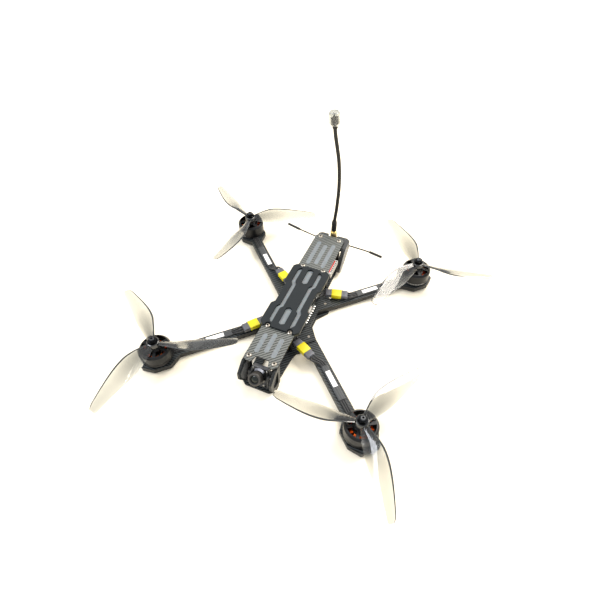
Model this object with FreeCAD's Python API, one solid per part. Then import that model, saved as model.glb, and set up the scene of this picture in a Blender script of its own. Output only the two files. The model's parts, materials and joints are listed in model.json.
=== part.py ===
import FreeCAD, Part
import math
import os

# A long-range FPV racing quadcopter with seven-inch propellers, one solid for each real piece.
# The origin is on the ground at the centre of the four motors, +Z is up, and the
# nose points along -Y, so the pilot's left hand is on +X.  Every length is in millimetres.

V = FreeCAD.Vector
Z_AXIS = V(0, 0, 1)

# ---- driving dimensions: the frame ----
MOTOR_X = 115.5
MOTOR_Y = 113.5
BOTTOM_THICKNESS = 2.5
ARM_THICKNESS = 6.0
MID_THICKNESS = 2.0
STANDOFF_LENGTH = 30.5
STANDOFF_RADIUS = 2.5
TOP_THICKNESS = 2.0
PAD_THICKNESS = 2.5
BODY_HALF_WIDTH = 19.0
ARM_HALF_WIDTH = 6.75
ARM_BOLT_REACH = 38.0
STACK_PITCH = 30.5
SLOT_ROUNDING = 0.8
STRIP_WIDTH = 5.0
MIDDLE_SLOT_WIDTH = 7.2

# ---- levels, from the ground up ----
Z_ARM = BOTTOM_THICKNESS
Z_MID = Z_ARM + ARM_THICKNESS
Z_DECK = Z_MID + MID_THICKNESS
Z_TOP = BOTTOM_THICKNESS + STANDOFF_LENGTH
Z_PAD = Z_TOP + TOP_THICKNESS
Z_BATTERY = Z_PAD + PAD_THICKNESS

# ---- motors and propellers ----
SHAFT_RADIUS = 2.5
BELL_RADIUS = 17.0
BELL_INNER_RADIUS = 15.2
BELL_BOTTOM = Z_MID + 2.4
BELL_TOP = Z_MID + 20.0
MOTOR_PCD = 19.0
MOTOR_SCREWS = 4
FIRST_SCREW_ANGLE = 45.0
FLANGE_RADIUS = 14.5
TUBE_RADIUS = 6.5
BEARING_RADIUS = 5.5
BEARING_WIDTH = 4.0
STATOR_RADIUS = 13.9
STATOR_BOTTOM = Z_MID + 4.4
STATOR_TOP = Z_MID + 11.4
TOOTH_HALF_WIDTH = 1.1
COIL_INNER = 8.9
COIL_OUTER = 12.3
TEETH = 12
MAGNETS = 14
SPOKES = 6
BLADES = 3
PROP_RADIUS = 88.9
PROP_PITCH = 101.6
PROP_HUB_RADIUS = 6.75
PROP_HUB_HEIGHT = 6.8
PROP_TOP = BELL_TOP + PROP_HUB_HEIGHT
NUT_HEIGHT = 5.0

# ---- electronics ----
BOARD_THICKNESS = 1.6
ESC_LEVEL = Z_DECK + 3.5
FC_LEVEL = Z_DECK + 10.5

# ---- screws and fits ----
M3 = 1.5
M2 = 1.0
HEAD_RADIUS = 2.85
HEAD_HEIGHT = 1.5
SINK_DEPTH = 1.7
SINK_RADIUS = 3.0
SOCKET_FLATS = 2.0
RUNNING = 0.05
# A height above every piece, for holes that go right through.
SKY = 60.0

# ---- camera ----
CAMERA_PIVOT = V(0, -95.5, 15.0)
CAMERA_TILT = 35.0
CAMERA_SIZE = 19.0
CHEEK_INNER = 9.8
CHEEK_THICKNESS = 1.8

# ---- antennas ----
SMA = V(1.0, 124.0, 0)
RX_HEIGHT = 24.8

# Each corner: side (+1 is the pilot's left), end (+1 is the tail), spin seen from above (+1 is
# anticlockwise), the angle of one blade, the motor plug's place along the arm, across it and its
# lean, and how far from the centre its wires leave the arm.
CORNERS = {
    "front_right": {"side": -1, "end": -1, "spin": -1, "blade": 22.3, "plug": (52.1, 0.3, 7.5), "bend": 74},
    "front_left": {"side": 1, "end": -1, "spin": 1, "blade": 65.3, "plug": (53.2, 12.6, -16.2), "bend": 76},
    "rear_right": {"side": -1, "end": 1, "spin": 1, "blade": 29.8, "plug": (58.8, 8.3, -10.8), "bend": 82},
    "rear_left": {"side": 1, "end": 1, "spin": -1, "blade": 6.0, "plug": (55.8, 6.8, -29.5), "bend": 76},
}

# Screw columns that join the bottom and top plates, right half only.
COLUMNS = [(14.3, -89.4), (13.0, -47.0), (13.0, 53.0), (12.5, 112.0)]


# ---------------------------------------------------------------- shape helpers
def box(low, high):
    size = V(*high) - V(*low)
    return Part.makeBox(size.x, size.y, size.z, V(*low))


def disc(radius, bottom, top, x=0.0, y=0.0):
    return Part.makeCylinder(radius, top - bottom, V(x, y, bottom))


def ring(outer, inner, bottom, top, x=0.0, y=0.0):
    return disc(outer, bottom, top, x, y).cut(disc(inner, bottom - 1, top + 1, x, y))


def fuse(shapes):
    whole = shapes[0]
    for shape in shapes[1:]:
        whole = whole.fuse(shape)
    return whole.removeSplitter()


def bend(before, corner, after, radius):
    """The start, middle and end of the arc that rounds a corner, or None where there is no turn."""
    back = (before - corner).normalize()
    ahead = (after - corner).normalize()
    half_turn = (math.pi - back.getAngle(ahead)) / 2
    if half_turn < math.radians(0.3):
        return None
    reach = 0.45 * min((before - corner).Length, (after - corner).Length)
    reach = min(reach, radius * math.tan(half_turn))
    real = reach / math.tan(half_turn)
    inward = (back + ahead).normalize()
    middle = corner + inward * (real / math.cos(half_turn) - real)
    return corner + back * reach, middle, corner + ahead * reach, real


def path(points, radii, closed=False):
    """Straight runs joined by tangent arcs, as a wire, with the arcs' real radii."""
    count = len(points)
    turns = []
    for i in range(count):
        rounds = radii[i] > 0 and (closed or 0 < i < count - 1)
        arc = bend(points[i - 1], points[i], points[(i + 1) % count], radii[i]) if rounds else None
        turns.append(arc if arc else (points[i], None, points[i], None))
    edges = []
    for i in range(count):
        if turns[i][1]:
            edges.append(Part.Arc(turns[i][0], turns[i][1], turns[i][2]).toShape())
        if i < count - 1 or closed:
            start = turns[i][2]
            end = turns[(i + 1) % count][0]
            if (end - start).Length > 1e-6:
                edges.append(Part.LineSegment(start, end).toShape())
    return Part.Wire(edges), [turn[3] for turn in turns if turn[3]]


def prism(points, bottom, top, radius=0.0):
    """A flat plate from a list of (x, y) corners, each rounded with the same radius."""
    corners = [V(x, y, bottom) for x, y in points]
    wire = path(corners, [radius] * len(points), closed=True)[0]
    return Part.Face(wire).extrude(V(0, 0, top - bottom))


def side_prism(points, left, right, radius):
    """A plate from a list of (y, z) corners, from x = left to x = right."""
    corners = [V(left, y, z) for y, z in points]
    wire = path(corners, [radius] * len(points), closed=True)[0]
    return Part.Face(wire).extrude(V(right - left, 0, 0))


def lathe(profile, radius=0.0):
    """A turned piece from a list of (radius, z) corners; corners on the axis stay sharp."""
    corners = [V(r, 0, z) for r, z in profile]
    radii = [radius if corner.x > 0 else 0.0 for corner in corners]
    wire = path(corners, radii, closed=True)[0]
    return Part.Face(wire).revolve(V(0, 0, 0), Z_AXIS, 360)


def hexagon(across_flats, bottom, top):
    reach = across_flats / math.sqrt(3)
    corners = [(reach * math.cos(a), reach * math.sin(a)) for a in (i * math.pi / 3 for i in range(6))]
    return prism(corners, bottom, top)


def cord(points, radius, name):
    """A round cord along straight runs and the largest tangent arcs that they allow."""
    route, real = path(points, [math.inf] * len(points))
    start = points[0]
    circle = Part.Wire(Part.makeCircle(radius, start, points[1] - start))
    print(name, "arc radii", [round(value, 1) for value in real])
    return route.makePipeShell([circle], True, True)


def mirrored(points):
    """A whole outline from its +X half, listed from the nose to the tail."""
    return points + [(-x, y) for x, y in reversed(points)]


def turned(shape, degrees, centre=V(0, 0, 0), axis=Z_AXIS):
    copy = shape.copy()
    copy.rotate(centre, axis, degrees)
    return copy


def moved(shape, x, y, z=0.0):
    copy = shape.copy()
    copy.translate(V(x, y, z))
    return copy


def save(node, shapes):
    solids = [solid for shape in shapes for solid in shape.Solids]
    bad = [i for i, solid in enumerate(solids) if not solid.isValid() or solid.Volume <= 0]
    if bad:
        print("NOT VALID", node, bad)
    whole = solids[0] if len(solids) == 1 else Part.makeCompound(solids)
    whole.exportStep("parts/" + node + ".step")


# ---------------------------------------------------------------- places
def arm_angle(corner):
    return math.degrees(math.atan2(corner["end"] * MOTOR_Y, corner["side"] * MOTOR_X))


def on_arm(corner, along, across, z):
    """A point measured along the arm from the frame's centre and across it towards nose or tail."""
    reach = math.hypot(MOTOR_X, MOTOR_Y)
    cos = MOTOR_X / reach
    sin = MOTOR_Y / reach
    x = corner["side"] * (along * cos - across * sin)
    y = corner["end"] * (along * sin + across * cos)
    return V(x, y, z)


def motor_reach():
    return math.hypot(MOTOR_X, MOTOR_Y)


def at_motor(shape, corner):
    """Place a shape made on the Z axis on a motor's axis, its +X pointing away from the body."""
    placed = turned(shape, arm_angle(corner))
    placed.translate(V(corner["side"] * MOTOR_X, corner["end"] * MOTOR_Y, 0))
    return placed


def around(shape, count, first=0.0):
    return [turned(shape, first + i * 360.0 / count) for i in range(count)]


def columns():
    return [(side * x, y) for x, y in COLUMNS for side in (1, -1)]


def stack_corners():
    half = STACK_PITCH / 2
    return [(x, y) for x in (-half, half) for y in (-half, half)]


def arm_bolts():
    return [on_arm(corner, ARM_BOLT_REACH, 0, 0) for corner in CORNERS.values()]


# ---------------------------------------------------------------- screws
def button_screw(x, y, seat, length):
    """A button-head screw pointing down, its head resting on z = seat, with a hex socket."""
    top = seat + HEAD_HEIGHT
    head = lathe([(0, seat), (HEAD_RADIUS, seat), (2.5, seat + 0.9), (1.6, top), (0, top)])
    socket = hexagon(SOCKET_FLATS, seat + 0.5, seat + 3)
    shank = disc(M3, seat - length, seat + 0.2)
    return moved(fuse([head.cut(socket), shank.cut(socket)]), x, y)


def sunk_screw(x, y, length):
    """A countersunk screw pointing up, its head flush with the underside of the bottom plate."""
    head = Part.makeCone(SINK_RADIUS, M3, SINK_DEPTH)
    shank = disc(M3, SINK_DEPTH - 0.1, length)
    socket = hexagon(SOCKET_FLATS, -1, 1.0)
    return moved(fuse([head, shank]).cut(socket), x, y)


def sunk_hole(x, y):
    """The hole that a countersunk screw sits in."""
    cone = Part.makeCone(SINK_RADIUS, M3, SINK_DEPTH, V(x, y, 0))
    return cone.fuse(disc(M3, SINK_DEPTH - 0.1, BOTTOM_THICKNESS + 1, x, y))


# ---------------------------------------------------------------- carbon plates
def bottom_plate():
    half = [(14, -105), (19.6, -100.5), (19.6, -92), (17, -86), (19, -55), (21, -48), (29, -42),
            (33.4, -24.7), (33.4, -20.5), (23.7, -6.6), (23.7, 6.6), (33.4, 20.5), (33.4, 24.7),
            (29, 42), (21, 48), (19, 55), (19, 113), (15, 118)]
    plate = prism(mirrored(half), 0, BOTTOM_THICKNESS, 3)
    for x, y in columns() + stack_corners():
        plate = plate.cut(sunk_hole(x, y))
    for bolt in arm_bolts():
        plate = plate.cut(sunk_hole(bolt.x, bolt.y))
    for y0, y1 in ((-80, -56), (62, 84), (88, 104)):
        window = [(-8, y0), (8, y0), (8, y1), (-8, y1)]
        plate = plate.cut(prism(window, -1, BOTTOM_THICKNESS + 1, 4))
    return plate


def arm(corner):
    reach = motor_reach()
    half = [(7.6, ARM_HALF_WIDTH), (reach - 22, ARM_HALF_WIDTH), (reach - 10, 17), (reach + 8, 17),
            (reach + 20, 8.5)]
    outline = [(0.5, 0)] + half + [(u, -v) for u, v in reversed(half)]
    blank = turned(prism(outline, Z_ARM, Z_MID, 2.5), arm_angle(corner))
    for x, y in stack_corners():
        blank = blank.cut(disc(M3, 0, SKY, x, y))
    bolt = on_arm(corner, ARM_BOLT_REACH, 0, 0)
    blank = blank.cut(disc(M3, 0, SKY, bolt.x, bolt.y))
    motor_holes = around(disc(M3, 0, SKY, MOTOR_PCD / 2, 0), MOTOR_SCREWS, FIRST_SCREW_ANGLE)
    for hole in motor_holes + [disc(4.4, 0, SKY)]:
        blank = blank.cut(at_motor(hole, corner))
    return blank


def mid_plate():
    half = [(16, -40), (17, -31), (27.6, -36.6), (37, -27.4), (23.5, -13), (23.5, 13), (37, 27.4),
            (27.6, 36.6), (17, 31), (16, 40)]
    plate = prism(mirrored(half), Z_MID, Z_DECK, 2.5)
    for x, y in stack_corners():
        plate = plate.cut(disc(M3, 0, SKY, x, y))
    for bolt in arm_bolts():
        plate = plate.cut(disc(M3, 0, SKY, bolt.x, bolt.y))
    return plate.cut(disc(6, 0, SKY))


def side_slot(side):
    """The stepped slot beside the battery: straight in the middle, stepping out at both ends."""
    points = [(7.7, -17.5), (7.7, 20.5), (10.4, 24), (10.4, 46.5), (12.5, 46.5), (15.2, 43.5), (15.2, 22.5),
              (12.6, 19), (12.6, -15.5), (15.2, -19), (15.2, -38), (12, -42.5), (10.4, -42.5), (10.4, -20.5)]
    return [(side * x, y) for x, y in points]


def straight_slot(x, y0, y1, width):
    half = width / 2
    return [(x - half, y0 + 2), (x, y0), (x + half, y0 + 2), (x + half, y1 - 2), (x, y1), (x - half, y1 - 2)]


def pad_slots():
    """The slots that go through the battery pad as well as the top plate."""
    middle = [straight_slot(0, y0, y1, MIDDLE_SLOT_WIDTH) for y0, y1 in ((23.0, 48.5), (-42.0, -16.0))]
    return middle + [side_slot(1), side_slot(-1)]


def strip_outlines():
    """Every slot of the top plate that a grip strip fills."""
    places = [(-9.6, -84.0, -57.0), (0, -80.5, -53.5), (9.6, -84.0, -57.0)]
    places += [(-9.6, 58.0, 103.0), (0, 61.0, 99.0), (9.6, 58.0, 103.0)]
    return [straight_slot(x, y0, y1, STRIP_WIDTH) for x, y0, y1 in places] + pad_slots()


def pad_half():
    return [(19, -48.5), (23, -44.5), (23, -17), (19.5, -13), (19.5, 16), (23, 20), (23, 47.5), (19, 51.5)]


def top_plate():
    nose = [(7.5, -87.4), (9.8, -95.4), (16, -95.4), (BODY_HALF_WIDTH, -92)]
    half = nose + pad_half() + [(BODY_HALF_WIDTH, 113), (15, 117.5)]
    plate = prism(mirrored(half), Z_TOP, Z_PAD, 1.5)
    for outline in strip_outlines():
        plate = plate.cut(prism(outline, 0, SKY, SLOT_ROUNDING))
    for x, y in columns():
        plate = plate.cut(disc(M3, 0, SKY, x, y))
    return plate


def grip_strips():
    return [prism(outline, Z_TOP, Z_PAD + 0.2, SLOT_ROUNDING) for outline in strip_outlines()]


def battery_pad():
    pad = prism(mirrored(pad_half()), Z_PAD, Z_BATTERY, 1.5)
    for outline in pad_slots():
        pad = pad.cut(prism(outline, 0, SKY, SLOT_ROUNDING))
    for x, y in columns():
        pad = pad.cut(disc(HEAD_RADIUS + 0.5, 0, SKY, x, y))
    return pad


def standoff(x, y):
    post = disc(STANDOFF_RADIUS, Z_ARM, Z_TOP, x, y)
    for bottom, top in ((Z_ARM - 1, Z_ARM + 6), (Z_TOP - 6, Z_TOP + 1)):
        post = post.cut(disc(M3, bottom, top, x, y))
    waist = ring(STANDOFF_RADIUS + 1, STANDOFF_RADIUS - 0.4, 14, 22, x, y)
    return post.cut(waist)


def camera_plate(side):
    outline = [(-87, Z_TOP), (-97, Z_TOP), (-108.5, 24), (-108.5, 14), (-101.5, Z_ARM), (-88, Z_ARM)]
    window = [(-91.5, 28.5), (-103, 20), (-103, 12.5), (-98.5, 7.5), (-92, 7.5)]
    plate = side_prism(outline, 16.9, 19.4, 1.5)
    plate = plate.cut(side_prism(window, 10, 25, 1.5))
    return plate if side > 0 else plate.mirror(V(0, 0, 0), V(1, 0, 0))


# ---------------------------------------------------------------- motors
def motor_base():
    """The fixed flange and bearing tube, with a notch that lets the three wires out."""
    rim = Z_MID + 2.3
    tube_top = Z_MID + 14.7
    shelf = Z_MID + 0.8
    base = lathe([(4.4, Z_MID), (FLANGE_RADIUS, Z_MID), (FLANGE_RADIUS, rim), (TUBE_RADIUS, rim),
                  (TUBE_RADIUS, tube_top), (BEARING_RADIUS, tube_top), (BEARING_RADIUS, shelf), (4.4, shelf)])
    for hole in around(disc(M3, 0, SKY, MOTOR_PCD / 2, 0), MOTOR_SCREWS, FIRST_SCREW_ANGLE):
        base = base.cut(hole)
    for window in around(box((10.2, -2.2, 0), (12.6, 2.2, SKY)), 3, -90):
        base = base.cut(window)
    return base.cut(box((-16, -3.7, 0), (-11, 3.7, SKY)))


def bearing(bottom):
    top = bottom + BEARING_WIDTH
    body = ring(BEARING_RADIUS, SHAFT_RADIUS + RUNNING, bottom, top)
    return body.cut(ring(4.6, 3.6, top - 0.4, top + 1))


def tooth():
    """One stator tooth with its curved shoe, pointing along +X."""
    stem = box((7.5, -TOOTH_HALF_WIDTH, STATOR_BOTTOM), (13.2, TOOTH_HALF_WIDTH, STATOR_TOP))
    shoe = ring(STATOR_RADIUS, 12.6, STATOR_BOTTOM, STATOR_TOP).common(box((9, -2.9, 0), (16, 2.9, SKY)))
    return stem.fuse(shoe)


def stator():
    core = ring(8.6, TUBE_RADIUS, STATOR_BOTTOM, STATOR_TOP)
    return fuse([core] + around(tooth(), TEETH))


def coil():
    """The copper wound round one tooth, as one rounded bundle."""
    bundle = box((COIL_INNER, -2.0, STATOR_BOTTOM - 1.4), (COIL_OUTER, 2.0, STATOR_TOP + 1.4))
    bundle = bundle.makeFillet(0.9, [edge for edge in bundle.Edges if abs(edge.tangentAt(0).x) > 0.9])
    return bundle.cut(box((7, -TOOTH_HALF_WIDTH, STATOR_BOTTOM), (14, TOOTH_HALF_WIDTH, STATOR_TOP)))


def bell():
    """The turning can: ring, spoked crown and hub, with its magnets glued inside."""
    crown = BELL_TOP - 1.7
    ceiling = BELL_TOP - 4.7
    profile = [(SHAFT_RADIUS, ceiling), (BELL_INNER_RADIUS, ceiling),
               (BELL_INNER_RADIUS, BELL_BOTTOM), (BELL_RADIUS, BELL_BOTTOM), (BELL_RADIUS, crown - 2.2),
               (BELL_RADIUS - 2.0, crown), (7.4, crown), (6.9, BELL_TOP), (SHAFT_RADIUS, BELL_TOP)]
    can = lathe(profile, 0.4)
    opening = ring(14.2, 7.8, 0, SKY)
    for spoke in around(box((6, -1.7, -1), (16, 1.7, SKY + 1)), SPOKES, 15):
        opening = opening.cut(spoke)
    band = ring(BELL_RADIUS + 1, BELL_RADIUS - 0.35, BELL_BOTTOM + 3, BELL_BOTTOM + 3.8)
    can = can.cut(opening).cut(band)
    gap = math.radians(360.0 / MAGNETS / 2 - 1.2)
    reach = 2 * BELL_RADIUS
    ahead = reach * math.cos(gap)
    aside = reach * math.sin(gap)
    wedge = prism([(0, 0), (ahead, -aside), (ahead, aside)], 0, SKY)
    magnet = ring(BELL_INNER_RADIUS, 14.25, Z_MID + 3.6, Z_MID + 12.2).common(wedge)
    return [can] + around(magnet, MAGNETS)


def shaft():
    bottom = Z_MID + 0.35
    top = PROP_TOP + NUT_HEIGHT + 0.5
    rod = lathe([(0, bottom), (SHAFT_RADIUS, bottom), (SHAFT_RADIUS, top - 0.5), (SHAFT_RADIUS - 0.5, top),
                 (0, top)])
    rod = rod.cut(disc(1.2, top - 4, top + 1))
    rod = rod.cut(ring(4, 2.1, bottom + 0.1, bottom + 0.4))
    clip = ring(3.8, 2.1, bottom + 0.1, bottom + 0.4)
    spacer = ring(3.3, SHAFT_RADIUS, Z_MID + 14.9, BELL_TOP - 4.7)
    return [rod, clip, spacer]


# Blade stations: fraction of the radius, chord, and how far the chord's middle sits ahead.
STATIONS = [(0.055, 9.0, 0.0), (0.12, 12.0, 0.4), (0.22, 17.0, 1.2), (0.34, 20.8, 1.8), (0.48, 20.6, 1.6),
            (0.62, 18.0, 0.8), (0.76, 14.6, -0.6), (0.88, 11.6, -2.2), (0.96, 9.6, -3.6), (1.0, 6.4, -4.6)]


def blade_section(station, spin):
    """A thin cambered section across the blade; its leading edge is the higher one."""
    fraction, chord, lead = station
    radius = fraction * PROP_RADIUS
    slope = min(math.atan2(PROP_PITCH, 2 * math.pi * radius), math.radians(34))
    thick = 2.4 - 1.6 * min(fraction / 0.6, 1.0)
    camber = 0.055 * chord
    edge = 0.22

    def point(along, up):
        t = along * math.cos(slope) - up * math.sin(slope) + lead
        z = along * math.sin(slope) + up * math.cos(slope)
        return V(radius, spin * t, BELL_TOP + PROP_HUB_HEIGHT / 2 + z)

    half = chord / 2
    back_low = point(-half, -edge)
    back_high = point(-half, edge)
    front_low = point(half, -edge)
    front_high = point(half, edge)
    upper = Part.Arc(back_high, point(0.1 * chord, camber + thick / 2), front_high).toShape()
    lower = Part.Arc(front_low, point(0.1 * chord, camber - thick / 2), back_low).toShape()
    nose = Part.LineSegment(front_high, front_low).toShape()
    tail = Part.LineSegment(back_low, back_high).toShape()
    return Part.Wire([upper, nose, lower, tail])


def propeller(corner):
    blade = Part.makeLoft([blade_section(station, corner["spin"]) for station in STATIONS], True, False)
    hub = lathe([(0, BELL_TOP), (PROP_HUB_RADIUS, BELL_TOP), (PROP_HUB_RADIUS, PROP_TOP), (0, PROP_TOP)])
    whole = fuse([hub] + around(blade, BLADES)).cut(disc(SHAFT_RADIUS, 0, SKY))
    placed = turned(whole, corner["blade"])
    placed.translate(V(corner["side"] * MOTOR_X, corner["end"] * MOTOR_Y, 0))
    return placed


def prop_nut():
    """A flanged lock nut with its nylon collar."""
    top = PROP_TOP + NUT_HEIGHT
    flange = disc(5.4, PROP_TOP, PROP_TOP + 1.0)
    collar = lathe([(0, top - 1.6), (3.7, top - 1.6), (3.7, top - 0.6), (3.1, top), (0, top)])
    body = hexagon(8.0, PROP_TOP + 0.9, top - 1.3)
    return fuse([flange, body, collar]).cut(disc(SHAFT_RADIUS, 0, SKY))


def motor_screw():
    """A button-head screw that comes up through the arm into the motor's flange."""
    screw = button_screw(0, 0, 0, 8.0)
    screw = turned(screw, 180, axis=V(1, 0, 0))
    return moved(screw, MOTOR_PCD / 2, 0, Z_ARM)


# ---------------------------------------------------------------- electronics stack
def chip(x, y, bottom, size_x, size_y, height):
    return box((x - size_x / 2, y - size_y / 2, bottom), (x + size_x / 2, y + size_y / 2, bottom + height))


def board(half_x, half_y, bottom, holes):
    outline = [(-half_x, -half_y), (half_x, -half_y), (half_x, half_y), (-half_x, half_y)]
    blank = prism(outline, bottom, bottom + BOARD_THICKNESS, 2)
    for x, y in holes:
        blank = blank.cut(disc(2.0, bottom - 1, bottom + 3, x, y))
    return blank


def esc_board():
    """The four-in-one speed controller: a board with six power switches for each motor."""
    top = ESC_LEVEL + BOARD_THICKNESS
    pieces = [board(19.5, 19.5, ESC_LEVEL, stack_corners())]
    for side in (-1, 1):
        for row in range(6):
            y = -9.5 + row * 3.8
            pieces.append(chip(side * 14.2, y, top, 5.0, 3.2, 0.9))
            pieces.append(chip(side * 7.2, y, top, 5.0, 3.2, 0.9))
    return pieces


def flight_controller():
    """The upper board, with its processor, gyro, data socket and the boot button's housing."""
    top = FC_LEVEL + BOARD_THICKNESS
    socket = box((13.0, -4.5, top), (18.6, 4.5, top + 3.2))
    socket = socket.cut(box((14.5, -4.1, top + 0.4), (19, 4.1, top + 2.8)))
    switch = chip(-12.0, 6.0, top, 3.4, 3.4, 1.4).cut(disc(0.95, top + 0.4, top + 3, -12.0, 6.0))
    pieces = [board(18.0, 18.0, FC_LEVEL, stack_corners()), socket, switch]
    pieces += [chip(0, 0, top, 10, 10, 1.2), chip(-1, 11, top, 6, 5, 1.0), chip(3, -11, top, 3, 3, 0.9)]
    return pieces


def boot_button():
    """The plunger of the boot switch; it travels straight down into its housing."""
    top = FC_LEVEL + BOARD_THICKNESS
    return disc(0.85, top + 0.9, top + 1.9, -12.0, 6.0)


def stack_bolt(x, y):
    seat = FC_LEVEL + BOARD_THICKNESS + 0.5
    nut = moved(hexagon(5.5, seat, seat + 2.4), x, y).cut(disc(M3, 0, SKY, x, y))
    return [sunk_screw(x, y, seat + 3.0), nut]


def stack_spacer(x, y):
    fc_top = FC_LEVEL + BOARD_THICKNESS
    levels = [(Z_DECK, ESC_LEVEL), (ESC_LEVEL + BOARD_THICKNESS, FC_LEVEL), (fc_top, fc_top + 0.5)]
    return [ring(2.9, M3, low, high, x, y) for low, high in levels]


def vtx_post(x, y):
    return disc(1.9, Z_ARM, VTX_LEVEL, x, y)


def capacitor():
    """A low-resistance capacitor lying beside the stack, with its crimped waist and two legs."""
    can = lathe([(0, 0), (5, 0), (5, 2.2), (4.6, 2.8), (5, 3.4), (5, 20), (0, 20)], 0.4)
    legs = [disc(0.4, -4, 0, x, 0) for x in (-2.5, 2.5)]
    return [moved(turned(piece, -90, axis=V(1, 0, 0)), 14.5, 25.5, 20.8) for piece in [can] + legs]


# ---------------------------------------------------------------- motor wiring
PLUG_HALF = 13.65
PLUG_LEVEL = 13.4
WIRE_RADIUS = 1.0
WIRE_LEVEL = Z_MID + 1.05
WIRE_PITCH = 2.3
PIN_PITCH = 3.3
SLEEVE_END = 124.0
SLEEVE_CLEAR = 4.5


def plug_frame(corner):
    """The plug's centre, its direction away from the body, and the direction across it."""
    along, across, lean = corner["plug"]
    centre = on_arm(corner, along, across, PLUG_LEVEL)
    slope = math.radians(lean)
    outward = on_arm(corner, math.cos(slope), math.sin(slope), 0)
    sideways = on_arm(corner, -math.sin(slope), math.cos(slope), 0)
    return centre, outward, sideways


def plug(corner):
    """A three-pin motor plug: two grey shells on a yellow body, with a finger ridge."""
    centre, outward = plug_frame(corner)[:2]
    body = box((-6.0, -5.4, -2.8), (6.0, 5.4, 2.8))
    body = body.makeFillet(0.7, [edge for edge in body.Edges if abs(edge.tangentAt(0).x) > 0.9])
    shells = []
    for low, high in ((-PLUG_HALF, -6.0), (6.0, PLUG_HALF)):
        shell = box((low, -5.1, -2.6), (high, 5.1, 2.6))
        long_edges = [edge for edge in shell.Edges if abs(edge.tangentAt(0).x) > 0.9]
        shells.append(shell.makeFillet(0.9, long_edges))
    angle = math.degrees(math.atan2(outward.y, outward.x))
    return [moved(turned(piece, angle), centre.x, centre.y, centre.z) for piece in [body] + shells]


# Where each plug's three inner wires meet the speed controller: the middle pad, the step from pad
# to pad, the middle wire's last run and how that run changes from wire to wire.
PADS = {
    "front_right": ((-20.2, -11.0), (0.0, -3.3), (-4.8, -1.5), (2.4, 0.0)),
    "front_left": ((11.0, -20.2), (-3.3, 0.0), (0.5, -4.0), (0.0, 0.0)),
    "rear_right": ((-11.0, 20.2), (3.3, 0.0), (-1.0, 4.0), (0.0, 0.0)),
    "rear_left": ((11.0, 20.2), (-3.3, 0.0), (0.5, 4.0), (0.0, 0.0)),
}


def outer_wire(name, corner, lane):
    """From under the motor, along the arm inside the sleeve, to the plug's outer face."""
    centre, outward, sideways = plug_frame(corner)
    across = lane * WIRE_PITCH
    face = centre + outward * PLUG_HALF + sideways * (lane * PIN_PITCH)
    points = [on_arm(corner, motor_reach() - 11.5, across, WIRE_LEVEL),
              on_arm(corner, corner["bend"], across, WIRE_LEVEL), face + outward * 3.0, face]
    return cord(points, WIRE_RADIUS, name + " outer wire")


def inner_wire(name, corner, lane):
    """From the plug's inner face to a pad on the speed controller's edge."""
    centre, outward, sideways = plug_frame(corner)
    middle, step, approach, fan = PADS[name]
    face = centre - outward * PLUG_HALF + sideways * (lane * PIN_PITCH)
    pad = V(middle[0] + lane * step[0], middle[1] + lane * step[1], Z_DECK + 4.3)
    near = pad + V(approach[0] + lane * fan[0], approach[1] + lane * fan[1], 0)
    return cord([face, face - outward * 3.0, near, pad], WIRE_RADIUS, name + " inner wire")


def sleeve(corner):
    """The flat sleeve that holds the three wires down along the arm."""
    low = corner["bend"] + SLEEVE_CLEAR
    high = SLEEVE_END
    outer = box((low, -4.0, Z_MID), (high, 4.0, Z_MID + 2.8))
    outer = outer.makeFillet(0.9, [edge for edge in outer.Edges if abs(edge.tangentAt(0).x) > 0.9])
    inner = box((low - 1, -3.45, Z_MID - 1), (high + 1, 3.45, Z_MID + 2.15))
    return turned(outer.cut(inner), arm_angle(corner))


# ---------------------------------------------------------------- camera
def tilted(shape):
    """Turn a level camera piece, looking along -Y, up to its rest tilt about the pivot."""
    return turned(shape, -CAMERA_TILT, CAMERA_PIVOT, V(1, 0, 0))


def camera_mount():
    """The soft bracket between the side plates, with one cheek on each side of the camera."""
    base = box((-16.7, -101.5, Z_ARM), (16.7, -92.3, Z_ARM + 1.4))
    pieces = [base]
    for side in (-1, 1):
        outline = [(-101.5, Z_ARM), (-101.5, 15), (-98.5, 20), (-94, 20), (-92.3, 17), (-92.3, Z_ARM)]
        cheek = side_prism(outline, CHEEK_INNER, CHEEK_INNER + CHEEK_THICKNESS, 1.2)
        rib = box((CHEEK_INNER + 1, -97.5, Z_ARM), (16.7, -95.7, 9.5))
        behind_window = [(-92.4, 3), (-100, 3), (-106, 14), (-106, 23), (-97, 29.5), (-92.4, 29.5)]
        lining = side_prism(behind_window, 15.7, 16.8, 1.0)
        half = [cheek, rib, lining]
        pieces += half if side > 0 else [piece.mirror(V(0, 0, 0), V(1, 0, 0)) for piece in half]
    whole = fuse(pieces)
    pivot = CAMERA_PIVOT
    hole = Part.makeCylinder(M2 + RUNNING, 60, V(-30, pivot.y, pivot.z), V(1, 0, 0))
    return whole.cut(hole)


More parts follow.
